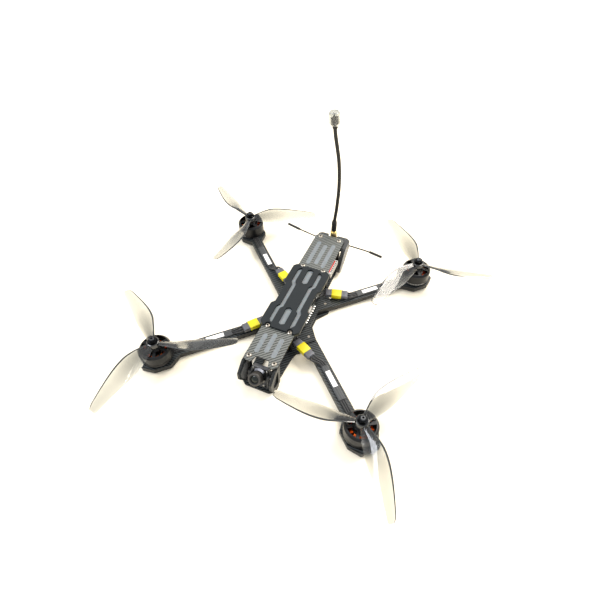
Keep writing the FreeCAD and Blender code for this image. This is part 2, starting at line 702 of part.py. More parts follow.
def camera_body():
    """The camera's square case with its rear cover and cable socket."""
    half = CAMERA_SIZE / 2
    y = CAMERA_PIVOT.y
    z = CAMERA_PIVOT.z
    case = box((-half, y - 4.5, z - half), (half, y + 1.5, z + half))
    case = case.makeFillet(1.2, [edge for edge in case.Edges if abs(edge.tangentAt(0).y) > 0.9])
    cover = box((-half + 0.6, y + 1.5, z - half + 0.6), (half - 0.6, y + 4.5, z + half - 0.6))
    boss = Part.makeCone(9.0, 7.2, 2.2, V(0, y - 4.5, z), V(0, -1, 0))
    bore = Part.makeCylinder(6.0, 30, V(0, y - 3.5, z), V(0, -1, 0))
    screws = Part.makeCylinder(M2, 60, V(-30, y, z), V(1, 0, 0))
    core = box((-half + 3, y - 30, z - 30), (half - 3, y + 30, z + 30))
    case = case.fuse(boss).cut(bore).cut(screws.cut(core))
    socket = box((-1.0, y + 4.5, z + 3.0), (8.0, y + 7.3, z + 7.5))
    return [tilted(piece) for piece in (case, cover, socket)]


def camera_lens():
    """The screw-in lens: barrel, knurled focus ring and domed front glass."""
    x, y, z = CAMERA_PIVOT
    profile = [(0, 3.5), (6.0, 3.5), (6.0, 8.2), (7.1, 8.6), (7.1, 15.0), (6.4, 15.8), (5.0, 15.8),
               (4.2, 14.2), (0, 14.2)]
    barrel = lathe(profile, 0.2)
    for notch in around(box((6.7, -0.35, 9.4), (8, 0.35, 14.2)), 24):
        barrel = barrel.cut(notch)
    glass = Part.makeSphere(7.0, V(0, 0, 8.6)).common(disc(4.15, 14.2, 20))
    pieces = [turned(piece, 90, axis=V(1, 0, 0)) for piece in (barrel, glass)]
    return [tilted(moved(piece, x, y, z)) for piece in pieces]


def camera_pivot_screw(side):
    """A small screw through a cheek into the camera; the camera turns with it."""
    y = CAMERA_PIVOT.y
    z = CAMERA_PIVOT.z
    seat = CHEEK_INNER + CHEEK_THICKNESS + 0.1
    shank = Part.makeCylinder(M2, seat - 6.6, V(6.6, y, z), V(1, 0, 0))
    head = Part.makeCylinder(1.9, 1.3, V(seat, y, z), V(1, 0, 0))
    screw = shank.fuse(head).cut(Part.makeCylinder(0.75, 2, V(seat + 0.6, y, z), V(1, 0, 0)))
    return screw if side > 0 else screw.mirror(V(0, 0, 0), V(1, 0, 0))


# ---------------------------------------------------------------- video link and receiver
VTX_LOW = (-14.0, 56.0)
VTX_HIGH = (22.0, 83.0)
VTX_LEVEL = 23.0


def vtx_board():
    return box((*VTX_LOW, VTX_LEVEL), (*VTX_HIGH, VTX_LEVEL + BOARD_THICKNESS))


def vtx_heatsink():
    """The transmitter's cover and heat sink, with cooling grooves across its outer edge."""
    low = VTX_LEVEL + BOARD_THICKNESS
    block = box((VTX_LOW[0] + 0.6, VTX_LOW[1] + 0.6, low), (VTX_HIGH[0], VTX_HIGH[1] - 0.6, 30.4))
    for i in range(6):
        y = VTX_LOW[1] + 4.2 + i * 3.6
        block = block.cut(box((19.4, y, low + 1.2), (24, y + 1.5, 29.4)))
    return block


def sma_jack():
    """The antenna socket in the rear mount, with its crimp and the short lead to the transmitter."""
    x = SMA.x
    y = SMA.y
    barrel = disc(3.15, 21.9, 38.0, x, y).cut(disc(1.2, 34.0, 40.0, x, y))
    foot = moved(hexagon(8.0, 18.4, 22.0), x, y)
    nut = moved(hexagon(8.0, 26.0, 28.2), x, y)
    crimp = disc(1.5, 15.4, 18.4, x, y)
    body = fuse([barrel, foot, nut, crimp])
    lead = [V(x, y, 15.2), V(x, y - 1, 10.0), V(x + 0.5, y - 10, 8.5), V(x + 1.5, 103, 14.0),
            V(x + 1, 92, 23.8), V(x + 1, VTX_HIGH[1], 23.8)]
    return [body, cord(lead, 0.7, "transmitter lead")]


def antenna_base():
    """The antenna's coupling nut, screwed over the socket; it turns with the antenna."""
    nut = hexagon(8.0, 29.4, 38.6).fuse(disc(3.1, 38.5, 41.0))
    return moved(nut.cut(disc(3.15 + RUNNING, 28, 38.2)), SMA.x, SMA.y)


def stem_points():
    """The centre line of the stem, which leans and curves gently towards the pilot's right."""
    shape = [(0.0, 41.0), (0.0, 57.0), (1.5, 73.5), (2.6, 103.0), (1.8, 124.0), (-0.2, 143.0), (-3.8, 160.0),
             (-6.3, 172.0), (-7.4, 181.0)]
    return [V(SMA.x + dx, SMA.y, z) for dx, z in shape]


def antenna_stem():
    """The stiff stem with its strain relief below and collar above, and the element in the cap."""
    points = stem_points()
    relief = lathe([(0, 41), (3.5, 41), (3.5, 53), (2.6, 57), (0, 57)])
    stem = cord(points, 2.25, "antenna stem")
    collar = at_stem_top(disc(3.1, -1.5, 1.8))
    lobes = around(box((0.2, -0.6, 4.0), (4.3, 0.6, 11.5)), 3)
    element = at_stem_top(fuse([disc(1.0, 1.8, 13.5), disc(4.4, 3.4, 4.2)] + lobes))
    return [fuse([moved(relief, SMA.x, SMA.y), stem, collar]), element]


def at_stem_top(shape):
    """Place a piece made on the Z axis on the stem's upper end, along its last run."""
    points = stem_points()
    run = points[-1] - points[-2]
    lean = math.degrees(math.atan2(run.x, run.z))
    placed = turned(shape, lean, axis=V(0, 1, 0))
    placed.translate(points[-1])
    return placed


def antenna_cap():
    """The thin hollow cap over the circularly polarised element."""
    outer = [(0, 1.8), (4.4, 1.8), (6.3, 4.4), (6.3, 14.6), (5.2, 16.4), (0, 16.4)]
    inner = [(0, 2.5), (4.1, 2.5), (5.6, 4.6), (5.6, 14.3), (4.9, 15.7), (0, 15.7)]
    cap = lathe(outer, 0.9).cut(lathe(inner, 0.7))
    return at_stem_top(cap.cut(disc(2.2, 1, 3)))


def rx_points():
    """The receiver antenna's two arms, right tip to left tip, passing through the rear mount."""
    plan = [(-66.4, 130.8), (-45.9, 125.8), (-20.4, 120.6), (1.0, 118.8), (21.6, 120.6), (51.6, 119.3),
            (69.6, 115.8)]
    return [V(x, y, RX_HEIGHT) for x, y in plan]


def rx_antenna():
    """A T antenna: two thin rods with thick tips and a small block where its lead joins."""
    points = rx_points()
    rod = cord(points, 0.9, "receiver antenna")
    tips = [Part.makeCylinder(1.65, 19.0, points[0], points[1] - points[0]),
            Part.makeCylinder(1.65, 17.0, points[-1], points[-2] - points[-1])]
    block = box((-10.0, 117.7, 23.2), (-4.0, 120.9, 26.4))
    lead = [V(-7, 119.3, 23.2), V(-7, 119.3, 17.0), V(-7, 112, 11.0), V(-6, 106, 7.0), V(-6, 101.8, 4.6)]
    return [fuse([rod, block] + tips), cord(lead, 0.6, "receiver lead")]


def antenna_mount():
    """The soft printed mount on the rear columns: beam, socket tongue and the right-hand wing."""
    post = COLUMNS[-1]
    beam_plan = [(-18, 115.2), (-18, 121), (-14, 124), (20, 124), (24.6, 121), (24.6, 112), (19.6, 112),
                 (19.6, 115.2)]
    beam = prism(beam_plan, 21, 32.8, 2)
    collars = [ring(4.8, STANDOFF_RADIUS, 21, 32.8, side * post[0], post[1]) for side in (-1, 1)]
    tongue = disc(7.0, 22, 26, SMA.x, SMA.y)
    wing_side = [(121, 32.8), (104, 32.8), (96, 25), (86, 12), (86, 5), (92, 4), (108, 12), (121, 21)]
    wing = side_prism(wing_side, 19.6, 24.6, 2)
    whole = fuse([beam, tongue, wing] + collars)
    whole = whole.cut(disc(6.2, 26, 40, SMA.x, SMA.y)).cut(disc(6.2, 10, 22, SMA.x, SMA.y))
    cuts = [disc(3.15, 20, 30, SMA.x, SMA.y), box((-10.6, 117.1, 10), (-3.4, 121.5, 27))]
    cuts += [disc(STANDOFF_RADIUS, 20, 40, side * post[0], post[1]) for side in (-1, 1)]
    cuts.append(cord(rx_points(), 1.1, "antenna channel"))
    for cut in cuts:
        whole = whole.cut(cut)
    return whole


def receiver():
    """The radio receiver in its shrink sleeve, lying on the bottom plate at the tail."""
    case = box((-12.0, 90.0, Z_ARM), (0.0, 101.5, Z_ARM + 3.6))
    return case.makeFillet(0.8, [edge for edge in case.Edges if abs(edge.tangentAt(0).y) > 0.9])


# ---------------------------------------------------------------- write every node
def write_motors():
    for name, corner in CORNERS.items():
        save("arm_" + name, [arm(corner)])
        save("motor_base_" + name, [at_motor(motor_base(), corner)])
        save("bell_" + name, [at_motor(piece, corner) for piece in bell()])
        save("shaft_" + name, [at_motor(piece, corner) for piece in shaft()])
        save("prop_" + name, [propeller(corner)])
        save("prop_nut_" + name, [at_motor(prop_nut(), corner)])
    corners = CORNERS.values()
    save("stators", [at_motor(stator(), corner) for corner in corners])
    coils = around(coil(), TEETH)
    save("stator_windings", [at_motor(piece, corner) for corner in corners for piece in coils])
    bearings = [bearing(Z_MID + 0.8), bearing(Z_MID + 10.7)]
    save("motor_bearings", [at_motor(piece, corner) for corner in corners for piece in bearings])
    screws = around(motor_screw(), MOTOR_SCREWS, FIRST_SCREW_ANGLE)
    save("motor_screws", [at_motor(screw, corner) for corner in corners for screw in screws])


def write_frame():
    save("bottom_plate", [bottom_plate()])
    save("mid_plate", [mid_plate()])
    save("top_plate", [top_plate()])
    save("grip_strips", grip_strips())
    save("battery_pad", [battery_pad()])
    save("standoffs", [standoff(x, y) for x, y in columns()])
    save("camera_plate_left", [camera_plate(1)])
    save("camera_plate_right", [camera_plate(-1)])
    save("top_screws", [button_screw(x, y, Z_PAD, 7.0) for x, y in columns()])
    sunk = [sunk_screw(x, y, Z_ARM + 5.5) for x, y in columns()]
    sunk += [sunk_screw(bolt.x, bolt.y, Z_DECK - 0.1) for bolt in arm_bolts()]
    save("bottom_screws", sunk)


def write_electronics():
    save("esc_board", esc_board())
    save("flight_controller", flight_controller())
    save("boot_button", [boot_button()])
    save("stack_bolts", [piece for x, y in stack_corners() for piece in stack_bolt(x, y)])
    posts = [vtx_post(x, y) for x in (-10.5, 15.5) for y in (60.0, 79.5)]
    save("stack_spacers", [piece for x, y in stack_corners() for piece in stack_spacer(x, y)] + posts)
    save("capacitor", capacitor())
    save("vtx_board", [vtx_board()])
    save("vtx_heatsink", [vtx_heatsink()])
    save("receiver", [receiver()])
    lanes = (-1, 0, 1)
    wires = [outer_wire(n, c, lane) for n, c in CORNERS.items() for lane in lanes]
    wires += [inner_wire(n, c, lane) for n, c in CORNERS.items() for lane in lanes]
    save("motor_wires", wires)
    save("wire_sleeves", [sleeve(corner) for corner in CORNERS.values()])
    save("motor_plugs", [piece for corner in CORNERS.values() for piece in plug(corner)])


def write_camera_and_antennas():
    save("camera_mount", [camera_mount()])
    save("camera_body", camera_body())
    save("camera_lens", camera_lens())
    save("camera_pivot_screws", [camera_pivot_screw(side) for side in (1, -1)])
    save("sma_jack", sma_jack())
    save("antenna_mount", [antenna_mount()])
    save("antenna_base", [antenna_base()])
    save("antenna_stem", antenna_stem())
    save("antenna_cap", [antenna_cap()])
    save("rx_antenna", rx_antenna())


os.makedirs("parts", exist_ok=True)
write_frame()
write_motors()
write_electronics()
write_camera_and_antennas()
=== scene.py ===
# %% [markdown]
# # A long-range racing drone with seven-inch propellers
# The CAD model gives every part its true size and place.  This lesson loads it as a fixed frame, sets
# up a camera and a plain studio, gives each part the finish of its real material, and rebuilds in mesh
# code the parts whose small detail the CAD model leaves out: windings, solder, plugs, labels, glass.

# %% Load the frame
import json
import math
import bmesh
import bpy
from mathutils import Matrix, Vector


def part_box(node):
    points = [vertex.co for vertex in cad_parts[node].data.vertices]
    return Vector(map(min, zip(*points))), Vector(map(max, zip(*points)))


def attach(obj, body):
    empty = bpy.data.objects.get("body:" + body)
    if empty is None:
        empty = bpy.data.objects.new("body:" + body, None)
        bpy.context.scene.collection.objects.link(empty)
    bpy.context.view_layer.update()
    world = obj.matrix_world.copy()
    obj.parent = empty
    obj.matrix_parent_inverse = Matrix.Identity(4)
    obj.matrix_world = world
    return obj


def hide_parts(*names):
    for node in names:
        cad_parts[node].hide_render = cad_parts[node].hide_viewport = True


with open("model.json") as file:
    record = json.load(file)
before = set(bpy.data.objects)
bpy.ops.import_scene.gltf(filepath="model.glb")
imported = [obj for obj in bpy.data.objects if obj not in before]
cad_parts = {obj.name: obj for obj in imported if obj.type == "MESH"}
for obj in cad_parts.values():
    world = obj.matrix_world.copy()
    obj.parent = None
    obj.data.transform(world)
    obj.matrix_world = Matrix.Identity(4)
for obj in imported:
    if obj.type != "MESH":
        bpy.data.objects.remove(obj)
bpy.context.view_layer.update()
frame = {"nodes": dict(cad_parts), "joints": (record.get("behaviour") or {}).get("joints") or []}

scene = bpy.context.scene
MM = 0.001
nodes = frame["nodes"]


def into_scene(name, data):
    """A new object in the scene that shows a mesh, a lamp or a camera."""
    made = bpy.data.objects.new(name, data)
    scene.collection.objects.link(made)
    return made


# %% [markdown]
# ## The camera
# The drone is seen from the front, from its left and from above, with a slightly long wide-angle lens.
# The camera's own axes are worked out from where it stands and what it looks at, and then rolled by a
# fraction of a degree, because nobody holds a camera perfectly level.

# %% Camera
CAMERA_PLACE = Vector((134.24, -311.0, 421.08)) * MM
CAMERA_TARGET = Vector((-6.58, 28.59, 0.0)) * MM
CAMERA_ROLL = math.radians(0.23)
LENS_MM = 26.99
SENSOR_MM = 36.0

back = (CAMERA_PLACE - CAMERA_TARGET).normalized()
level = Vector((0, 0, 1)).cross(back).normalized()
over = back.cross(level)
right = math.cos(CAMERA_ROLL) * level + math.sin(CAMERA_ROLL) * over
upward = back.cross(right)
lens = bpy.data.cameras.new("studio_camera")
lens.lens = LENS_MM
lens.sensor_width = SENSOR_MM
lens.clip_start = 0.01
viewer = into_scene("studio_camera", lens)
viewer.matrix_world = Matrix.Translation(CAMERA_PLACE) @ Matrix((right, upward, back)).transposed().to_4x4()
scene.camera = viewer
print("camera to target:", round((CAMERA_PLACE - CAMERA_TARGET).length, 3), "m")

# %% [markdown]
# ## Two helpers for finishes
# Colours are picked as sRGB hex codes, as on a paint chart, and the shaders work in linear light, so one
# function converts them.  A second one adds any node with its settings and links, so that a material
# reads as a short list of what feeds what.

# %% Colour and node helpers
def linear(code):
    """A colour code such as #7f7f7f as the linear colour that the shaders use."""
    channels = [int(code[i:i + 2], 16) / 255 for i in (1, 3, 5)]
    straight = [c / 12.92 if c <= 0.04045 else ((c + 0.055) / 1.055) ** 2.4 for c in channels]
    return (*straight, 1.0)


def shown(sockets):
    """The first socket that the node's settings leave in use."""
    return next(socket for socket in sockets if socket.enabled)


def add(tree, kind, inputs=None, **settings):
    """Adds a node, applies its settings, and sets each input or links it to another node."""
    made = tree.nodes.new("ShaderNode" + kind)
    for name, value in settings.items():
        setattr(made, name, value)
    for name, value in (inputs or {}).items():
        by_name = [socket for socket in made.inputs if socket.name == name]
        socket = made.inputs[name] if isinstance(name, int) else shown(by_name)
        source = shown(value.outputs) if isinstance(value, bpy.types.Node) else value
        if isinstance(source, bpy.types.NodeSocket):
            tree.links.new(source, socket)
        else:
            socket.default_value = source
    return made


def per_mm(size):
    """The scale that gives a texture features of this size in millimetres."""
    return 1.0 / (size * MM)


# %% [markdown]
# ## The studio
# A seamless pale floor under soft, even light: a bright surround, one large lamp high behind the drone
# and a smaller, weaker one in front, on the drone's right.  Soft light from everywhere is what makes
# black carbon read as grey and keeps the shadows short.  The floor isn't part of the drone, and it lies
# a hair below it, so that floor and bottom plate never share a plane.

# %% Floor and light
FLOOR_REACH = 3.0
FLOOR_DROP = 0.2 * MM
# Each soft box: where it stands in metres, its side in metres, its power in watts, and its colour.
SOFTBOXES = {"back_softbox": ((0.5, 0.8, 1.1), 0.9, 28.0, "#fff8ee"),
             "front_softbox": ((-0.8, -0.5, 1.1), 0.6, 12.0, "#f4f8ff")}

scene.view_settings.view_transform = "Standard"
scene.world = bpy.data.worlds.new("studio")
scene.world.use_nodes = True
surround = scene.world.node_tree.nodes["Background"]
surround.inputs["Color"].default_value = linear("#ffffff")
surround.inputs["Strength"].default_value = 1.05

floor_shape = bmesh.new()
bmesh.ops.create_grid(floor_shape, x_segments=2, y_segments=2, size=FLOOR_REACH)
bmesh.ops.translate(floor_shape, vec=(0, 0, -FLOOR_DROP), verts=floor_shape.verts)
floor_mesh = bpy.data.meshes.new("floor")
floor_shape.to_mesh(floor_mesh)
floor_shape.free()
floor = into_scene("floor", floor_mesh)
paper = bpy.data.materials.new("matt_white_paper")
paper.use_nodes = True
paper_shader = paper.node_tree.nodes["Principled BSDF"]
paper_shader.inputs["Base Color"].default_value = linear("#fff6e2")
paper_shader.inputs["Roughness"].default_value = 0.9
floor_mesh.materials.append(paper)

for name, (stand, side, power, colour) in SOFTBOXES.items():
    light = bpy.data.lights.new(name, "AREA")
    light.size, light.energy, light.color = side, power, linear(colour)[:3]
    softbox = into_scene(name, light)
    softbox.location = stand
    softbox.rotation_euler = Vector(stand).to_track_quat("Z", "Y").to_euler()
print("soft boxes:", len(SOFTBOXES))

# %% [markdown]
# ## How a finish starts
# Every real surface has two things: colour that drifts a little in soft patches, and a fine grain that
# changes its gloss and catches light.  `start` makes a material with both, at sizes given in
# millimetres, and `plain` is for a finish that needs nothing more.  `layer` paints another colour over a
# finish where a mask says so, and `emboss` adds relief.

# %% Finish helpers
# The noise texture seldom leaves this range, so it is stretched from here to the full range of gloss.
GRAIN_LOW, GRAIN_HIGH = 0.3, 0.7


def start(name, dark, light, patch_mm, grain_mm, rough, bump_mm, fixed=None):
    """A material with patchy colour, grain in its gloss and relief, and its shader's fixed values."""
    material = bpy.data.materials.new(name)
    material.use_nodes = True
    tree = material.node_tree
    shader = tree.nodes["Principled BSDF"]
    for socket, value in (fixed or {}).items():
        shader.inputs[socket].default_value = value
    place = add(tree, "TexCoord").outputs["Object"]
    patch = add(tree, "TexNoise", {"Vector": place, "Scale": per_mm(patch_mm), "Detail": 3.0})
    tones = {"Factor": patch, "A": linear(dark), "B": linear(light)}
    colour = add(tree, "Mix", tones, data_type="RGBA")
    grain = add(tree, "TexNoise", {"Vector": place, "Scale": per_mm(grain_mm), "Detail": 2.0})
    gloss = {"Value": grain, "From Min": GRAIN_LOW, "From Max": GRAIN_HIGH,
             "To Min": rough[0], "To Max": rough[1]}
    relief = add(tree, "Bump", {"Height": grain, "Distance": bump_mm * MM})
    tree.links.new(shown(colour.outputs), shader.inputs["Base Color"])
    tree.links.new(shown(add(tree, "MapRange", gloss).outputs), shader.inputs["Roughness"])
    tree.links.new(shown(relief.outputs), shader.inputs["Normal"])
    return {"material": material, "tree": tree, "shader": shader, "place": place, "colour": colour,
            "relief": relief}


def plain(*values):
    """The material of a finish that needs no further layer."""
    return start(*values)["material"]


def layer(finish, mask, colour):
    """Paints a colour over a finish where the mask is 1."""
    tree = finish["tree"]
    mix = {"Factor": mask, "A": finish["colour"], "B": linear(colour)}
    finish["colour"] = add(tree, "Mix", mix, data_type="RGBA")
    tree.links.new(shown(finish["colour"].outputs), finish["shader"].inputs["Base Color"])


def emboss(finish, height, depth_mm):
    """Adds relief to a finish from a height between 0 and 1."""
    tree = finish["tree"]
    inputs = {"Height": height, "Distance": depth_mm * MM, "Normal": finish["relief"]}
    finish["relief"] = add(tree, "Bump", inputs)
    tree.links.new(shown(finish["relief"].outputs), finish["shader"].inputs["Normal"])


# %% [markdown]
# ## Carbon plate
# The frame is cut from sheets of 2/2 twill: flat ribbons of fibre, each passing over two and under two
# of the others, shifted by one each row, which draws the slanting lines.  A ribbon lying one way
# throws light back differently from its neighbour, and this is painted in: the crown of each ribbon
# lying one way gets a lighter colour, a painted sheen.  On a sawn edge the plies show as thin stripes.
# The weave is worked out from position, so it is the same size everywhere.

# %% Carbon twill
# The width of one ribbon of fibre, a chosen value: narrower than many real ones, and as fine as shows.
TOW_MM = 1.0
# A real ply is nearer 0.2 mm thick: it is drawn at twice that, so that it shows.
PLY_MM = 0.4
FIBRE_SHARE = 0.7
# A face whose normal leans further than this from the sheet's own is a sawn edge.
FLAT_ENOUGH = 0.6


def lines_across(finish, axis, pitch_mm, test, limit):
    """A mask of fine parallel lines: each pitch counts from 0 to 1, and the test picks a part of it."""
    tree = finish["tree"]
    height = add(tree, "SeparateXYZ", {"Vector": finish["place"]}).outputs[axis]
    count = add(tree, "Math", {0: height, 1: per_mm(pitch_mm)}, operation="MULTIPLY")
    part = add(tree, "Math", {0: count}, operation="FRACT")
    return add(tree, "Math", {0: part, 1: limit}, operation=test)


def weave(finish, turn, axes):
    """Where the warp lies on top, and the rounded height of whichever ribbon is on top."""
    tree = finish["tree"]
    turned = {"Vector": finish["place"], "Rotation": (0, 0, math.radians(turn))}
    spun = add(tree, "Mapping", turned)
    split = add(tree, "SeparateXYZ", {"Vector": spun})
    cells = [add(tree, "Math", {0: split.outputs[axis], 1: per_mm(TOW_MM)}, operation="MULTIPLY")
             for axis in axes]
    steps = [add(tree, "Math", {0: cell}, operation="FLOOR") for cell in cells]
    apart = add(tree, "Math", {0: steps[0], 1: steps[1]}, operation="SUBTRACT")
    phase = add(tree, "Math", {0: apart, 1: 4.0}, operation="FLOORED_MODULO")
    warp_up = add(tree, "Math", {0: phase, 1: 2.0}, operation="LESS_THAN")
    parts = [add(tree, "Math", {0: cell}, operation="FRACT") for cell in cells]
    turns = [add(tree, "Math", {0: part, 1: math.pi}, operation="MULTIPLY") for part in parts]
    rounds = [add(tree, "Math", {0: turn_part}, operation="SINE") for turn_part in turns]
    crown = add(tree, "Mix", {"Factor": warp_up, "A": rounds[1], "B": rounds[0]})
    return warp_up, crown


def carbon(name, tones, gloss, turn, axes, edge_axis):
    """Carbon plate in two patchy tones with a painted sheen as a third, woven along two axes, with its plies
    stacked on the third axis.
    """
    fixed = {"IOR": 1.55, "Specular IOR Level": gloss, "Coat Weight": 0.4 * gloss, "Coat Roughness": 0.24}
    finish = start(name, tones[0], tones[1], 14.0, 0.5, (0.36, 0.5), 0.01, fixed)
    tree = finish["tree"]
    warp_up, crown = weave(finish, turn, axes)
    # The crowns of the ribbons that lie one way get the third tone: a painted sheen.
    painted_sheen = add(tree, "Math", {0: warp_up, 1: crown}, operation="MULTIPLY")
    layer(finish, painted_sheen, tones[2])
    emboss(finish, crown, 0.04)
    normal = add(tree, "NewGeometry").outputs["Normal"]
    facing = add(tree, "SeparateXYZ", {"Vector": normal}).outputs[edge_axis]
    upright = add(tree, "Math", {0: facing}, operation="ABSOLUTE")
    sawn = add(tree, "Math", {0: upright, 1: FLAT_ENOUGH}, operation="LESS_THAN")
    line = lines_across(finish, edge_axis, PLY_MM, "GREATER_THAN", FIBRE_SHARE)
    layer(finish, sawn, "#0f1112")
    layer(finish, add(tree, "Math", {0: sawn, 1: line}, operation="MULTIPLY"), "#222526")
    return finish["material"]


# The top plate is given paler tones and more gloss than the plates and arms below it.
# In each list the third colour is the painted sheen on the weave's crowns.
PALE_TONES = ("#1d201f", "#282b29", "#757873")
DARK_TONES = ("#060708", "#0c0e0f", "#4c5254")
carbon_top = carbon("carbon_twill_top_plate", PALE_TONES, 0.5, 0.0, ("X", "Y"), "Z")
carbon_plate = carbon("carbon_twill_plate", DARK_TONES, 0.22, 0.0, ("X", "Y"), "Z")
carbon_arm = carbon("carbon_twill_arm", DARK_TONES, 0.22, 45.0, ("X", "Y"), "Z")
carbon_side = carbon("carbon_twill_side", DARK_TONES, 0.22, 0.0, ("Y", "Z"), "X")
print("carbon finishes:", carbon_top.name, carbon_plate.name, carbon_arm.name, carbon_side.name)

# %% [markdown]
# ## Metals
# Metals get their colour from what they reflect, so the metallic value is 1 and the colour is that of
# the polished metal.  What tells them apart is how they were worked: anodised parts are satin and dark,
# turned parts show fine rings, plated ones are smooth and soft, and laminations are stacked sheets.

# %% Metal finishes
def striped(finish, axis, pitch_mm, share, colour, depth_mm):
    """Fine parallel lines across one axis, a given share of the pitch wide, painted and pressed in."""
    line = lines_across(finish, axis, pitch_mm, "LESS_THAN", share)
    layer(finish, line, colour)
    emboss(finish, line, -depth_mm)
    return finish["material"]


METAL = {"Metallic": 1.0}

# 7075 aluminium, turned, bead blasted and anodised black: dark satin with faint turning rings.
SATIN = {"Metallic": 0.75, "Coat Weight": 0.15, "Coat Roughness": 0.3}
satin = start("anodised_aluminium_black", "#131416", "#1f2123", 6.0, 0.4, (0.3, 0.42), 0.004, SATIN)
anodised = striped(satin, "Z", 0.5, 0.25, "#0f1012", 0.01)
# Hardened steel, ground and polished: bright, with a little streaking.
ground_steel = plain("ground_steel", "#7f7e7b", "#a3a19d", 3.0, 0.3, (0.18, 0.32), 0.003, METAL)
# The shaft's hardened steel left as tempered: darker and duller.
dark_steel = plain("tempered_steel", "#3f4144", "#5a5c5f", 2.0, 0.3, (0.28, 0.42), 0.004, METAL)
# Steel screw with a black oxide skin, slightly oily.
black_steel = plain("black_oxide_steel", "#141517", "#222427", 2.0, 0.3, (0.3, 0.45), 0.006, METAL)
# Titanium-coloured screw, cold headed and plated: warm silver.
champagne = plain("champagne_plated_steel", "#988f83", "#c0b9ad", 1.5, 0.25, (0.22, 0.36), 0.006, METAL)
# Brass, gold plated: pale warm yellow, softly bright.
gold = plain("gold_plated_brass", "#ddc485", "#f5e6b8", 2.5, 0.3, (0.3, 0.45), 0.004, METAL)
# Tin-lead solder, frozen from the melt: bright domes with a faint frosting.
solder = plain("frozen_solder", "#c4c5c4", "#ecedec", 0.8, 0.2, (0.12, 0.3), 0.012, METAL)
# Neodymium magnet, nickel plated: greyer and softer than bare steel.
nickel = plain("nickel_plated_magnet", "#7c7b77", "#989691", 2.0, 0.3, (0.22, 0.34), 0.004, METAL)
# Silicon steel sheets 0.2 mm thick, stacked and coated; drawn at 0.4 mm so that they show.
sheets = start("laminated_silicon_steel", "#2c2b2a", "#403e3b", 2.0, 0.3, (0.35, 0.5), 0.01,
               {"Metallic": 0.6})
laminated = striped(sheets, "Z", 0.4, 0.3, "#151414", 0.05)
# Copper wire under a clear amber enamel: deep orange where the light comes back through the coat.
ENAMEL = {"Metallic": 1.0, "Coat Weight": 0.7, "Coat Roughness": 0.12}
copper = plain("enamelled_copper_wire", "#dc6a20", "#ffa04a", 1.2, 0.3, (0.22, 0.34), 0.01, ENAMEL)
# Aluminium cover, bead blasted and silver anodised: nearly white.
silver = plain("silver_anodised_cover", "#b2b2ae", "#cdcdc9", 5.0, 0.35, (0.3, 0.42), 0.008,
               {"Metallic": 0.45})
# Laser ticks round a bell: the black skin burnt off down to pale metal.
tick_paint = plain("laser_marked_aluminium", "#a3a6aa", "#bfc1c4", 1.0, 0.2, (0.4, 0.5), 0.003,
                   {"Metallic": 0.4})
print("metals:", anodised.name, copper.name, silver.name)

# %% [markdown]
# ## Plastics and rubber
# Moulded plastic keeps the fine texture of its mould and a soft highlight; rubber and silicone are duller
# and slightly see-through at thin edges.  Each starts from the typical refractive index of its kind.

# %% Plastic finishes
# Nylon 66, moulded in several colours: satin, faintly grainy, light soaks in a little.
NYLON = {"IOR": 1.53, "Subsurface Weight": 0.08, "Subsurface Scale": 0.0006}
yellow_nylon = plain("moulded_nylon_yellow", "#c8ba00", "#d6c903", 4.0, 0.4, (0.36, 0.5), 0.01, NYLON)
grey_nylon = plain("moulded_nylon_grey", "#46474d", "#56575d", 4.0, 0.4, (0.36, 0.5), 0.01, NYLON)
black_nylon = plain("moulded_nylon_black", "#0d0e0f", "#151617", 4.0, 0.4, (0.4, 0.55), 0.01, NYLON)
white_nylon = plain("moulded_nylon_white", "#c2c1bb", "#d2d1cc", 3.0, 0.4, (0.35, 0.5), 0.01, NYLON)
beige_nylon = plain("moulded_nylon_beige", "#4f3d22", "#665131", 3.0, 0.4, (0.4, 0.55), 0.01, NYLON)
# Silicone wire jacket, extruded: soft black with a broad weak highlight.
SILICONE = {"IOR": 1.41, "Sheen Weight": 0.25, "Sheen Roughness": 0.5}
wire_jacket = plain("silicone_wire_jacket", "#0b0c0d", "#141517", 5.0, 0.5, (0.38, 0.52), 0.02, SILICONE)
# Coaxial jacket and heat shrink over the antenna: smooth black polyolefin with a clear highlight.
stem_jacket = plain("polyolefin_jacket", "#070808", "#0f1011", 8.0, 0.6, (0.26, 0.38), 0.02,
                    {"IOR": 1.5, "Specular IOR Level": 0.35})
# Thermoplastic polyurethane, printed in 0.25 mm layers drawn at 0.5 mm: ridged, rubbery, greyish sheen.
ridged = start("printed_polyurethane", "#131617", "#1b1f20", 6.0, 0.3, (0.36, 0.5), 0.02,
               {"IOR": 1.5, "Sheen Weight": 0.3})
printed = striped(ridged, "Z", 0.5, 0.35, "#0d0f10", 0.06)
# Vulcanised rubber sheet with a fabric-pressed face: matt blue-black.
rubber = plain("pressed_rubber_sheet", "#0c1215", "#141b1f", 9.0, 0.45, (0.62, 0.78), 0.05,
               {"IOR": 1.52, "Specular IOR Level": 0.3})
# Printed circuit board: black solder mask over copper, flat and slightly glossy.
mask_fixed = {"IOR": 1.55, "Coat Weight": 0.4, "Coat Roughness": 0.15}
board_finish = start("solder_mask_black", "#080a0a", "#0f1313", 5.0, 0.5, (0.28, 0.4), 0.008, mask_fixed)
# Moulded epoxy of a chip: dull charcoal; the same colour is painted shade in the video cover's slots.
epoxy_and_slot_shade = plain("moulded_epoxy_chip", "#0e0f10", "#171819", 2.0, 0.2, (0.45, 0.6), 0.012, {"IOR": 1.57})
# Fired ceramic of a chip capacitor: matt tan.
ceramic = plain("ceramic_capacitor", "#6b5433", "#88704b", 1.0, 0.2, (0.4, 0.55), 0.01, {"IOR": 1.6})
# Shrink sleeve of the capacitor: glossy black PVC.
pvc = plain("pvc_shrink_sleeve", "#0d0e10", "#17181b", 5.0, 0.6, (0.1, 0.2), 0.01, {"IOR": 1.53})
print("plastics:", yellow_nylon.name, wire_jacket.name, printed.name, rubber.name)

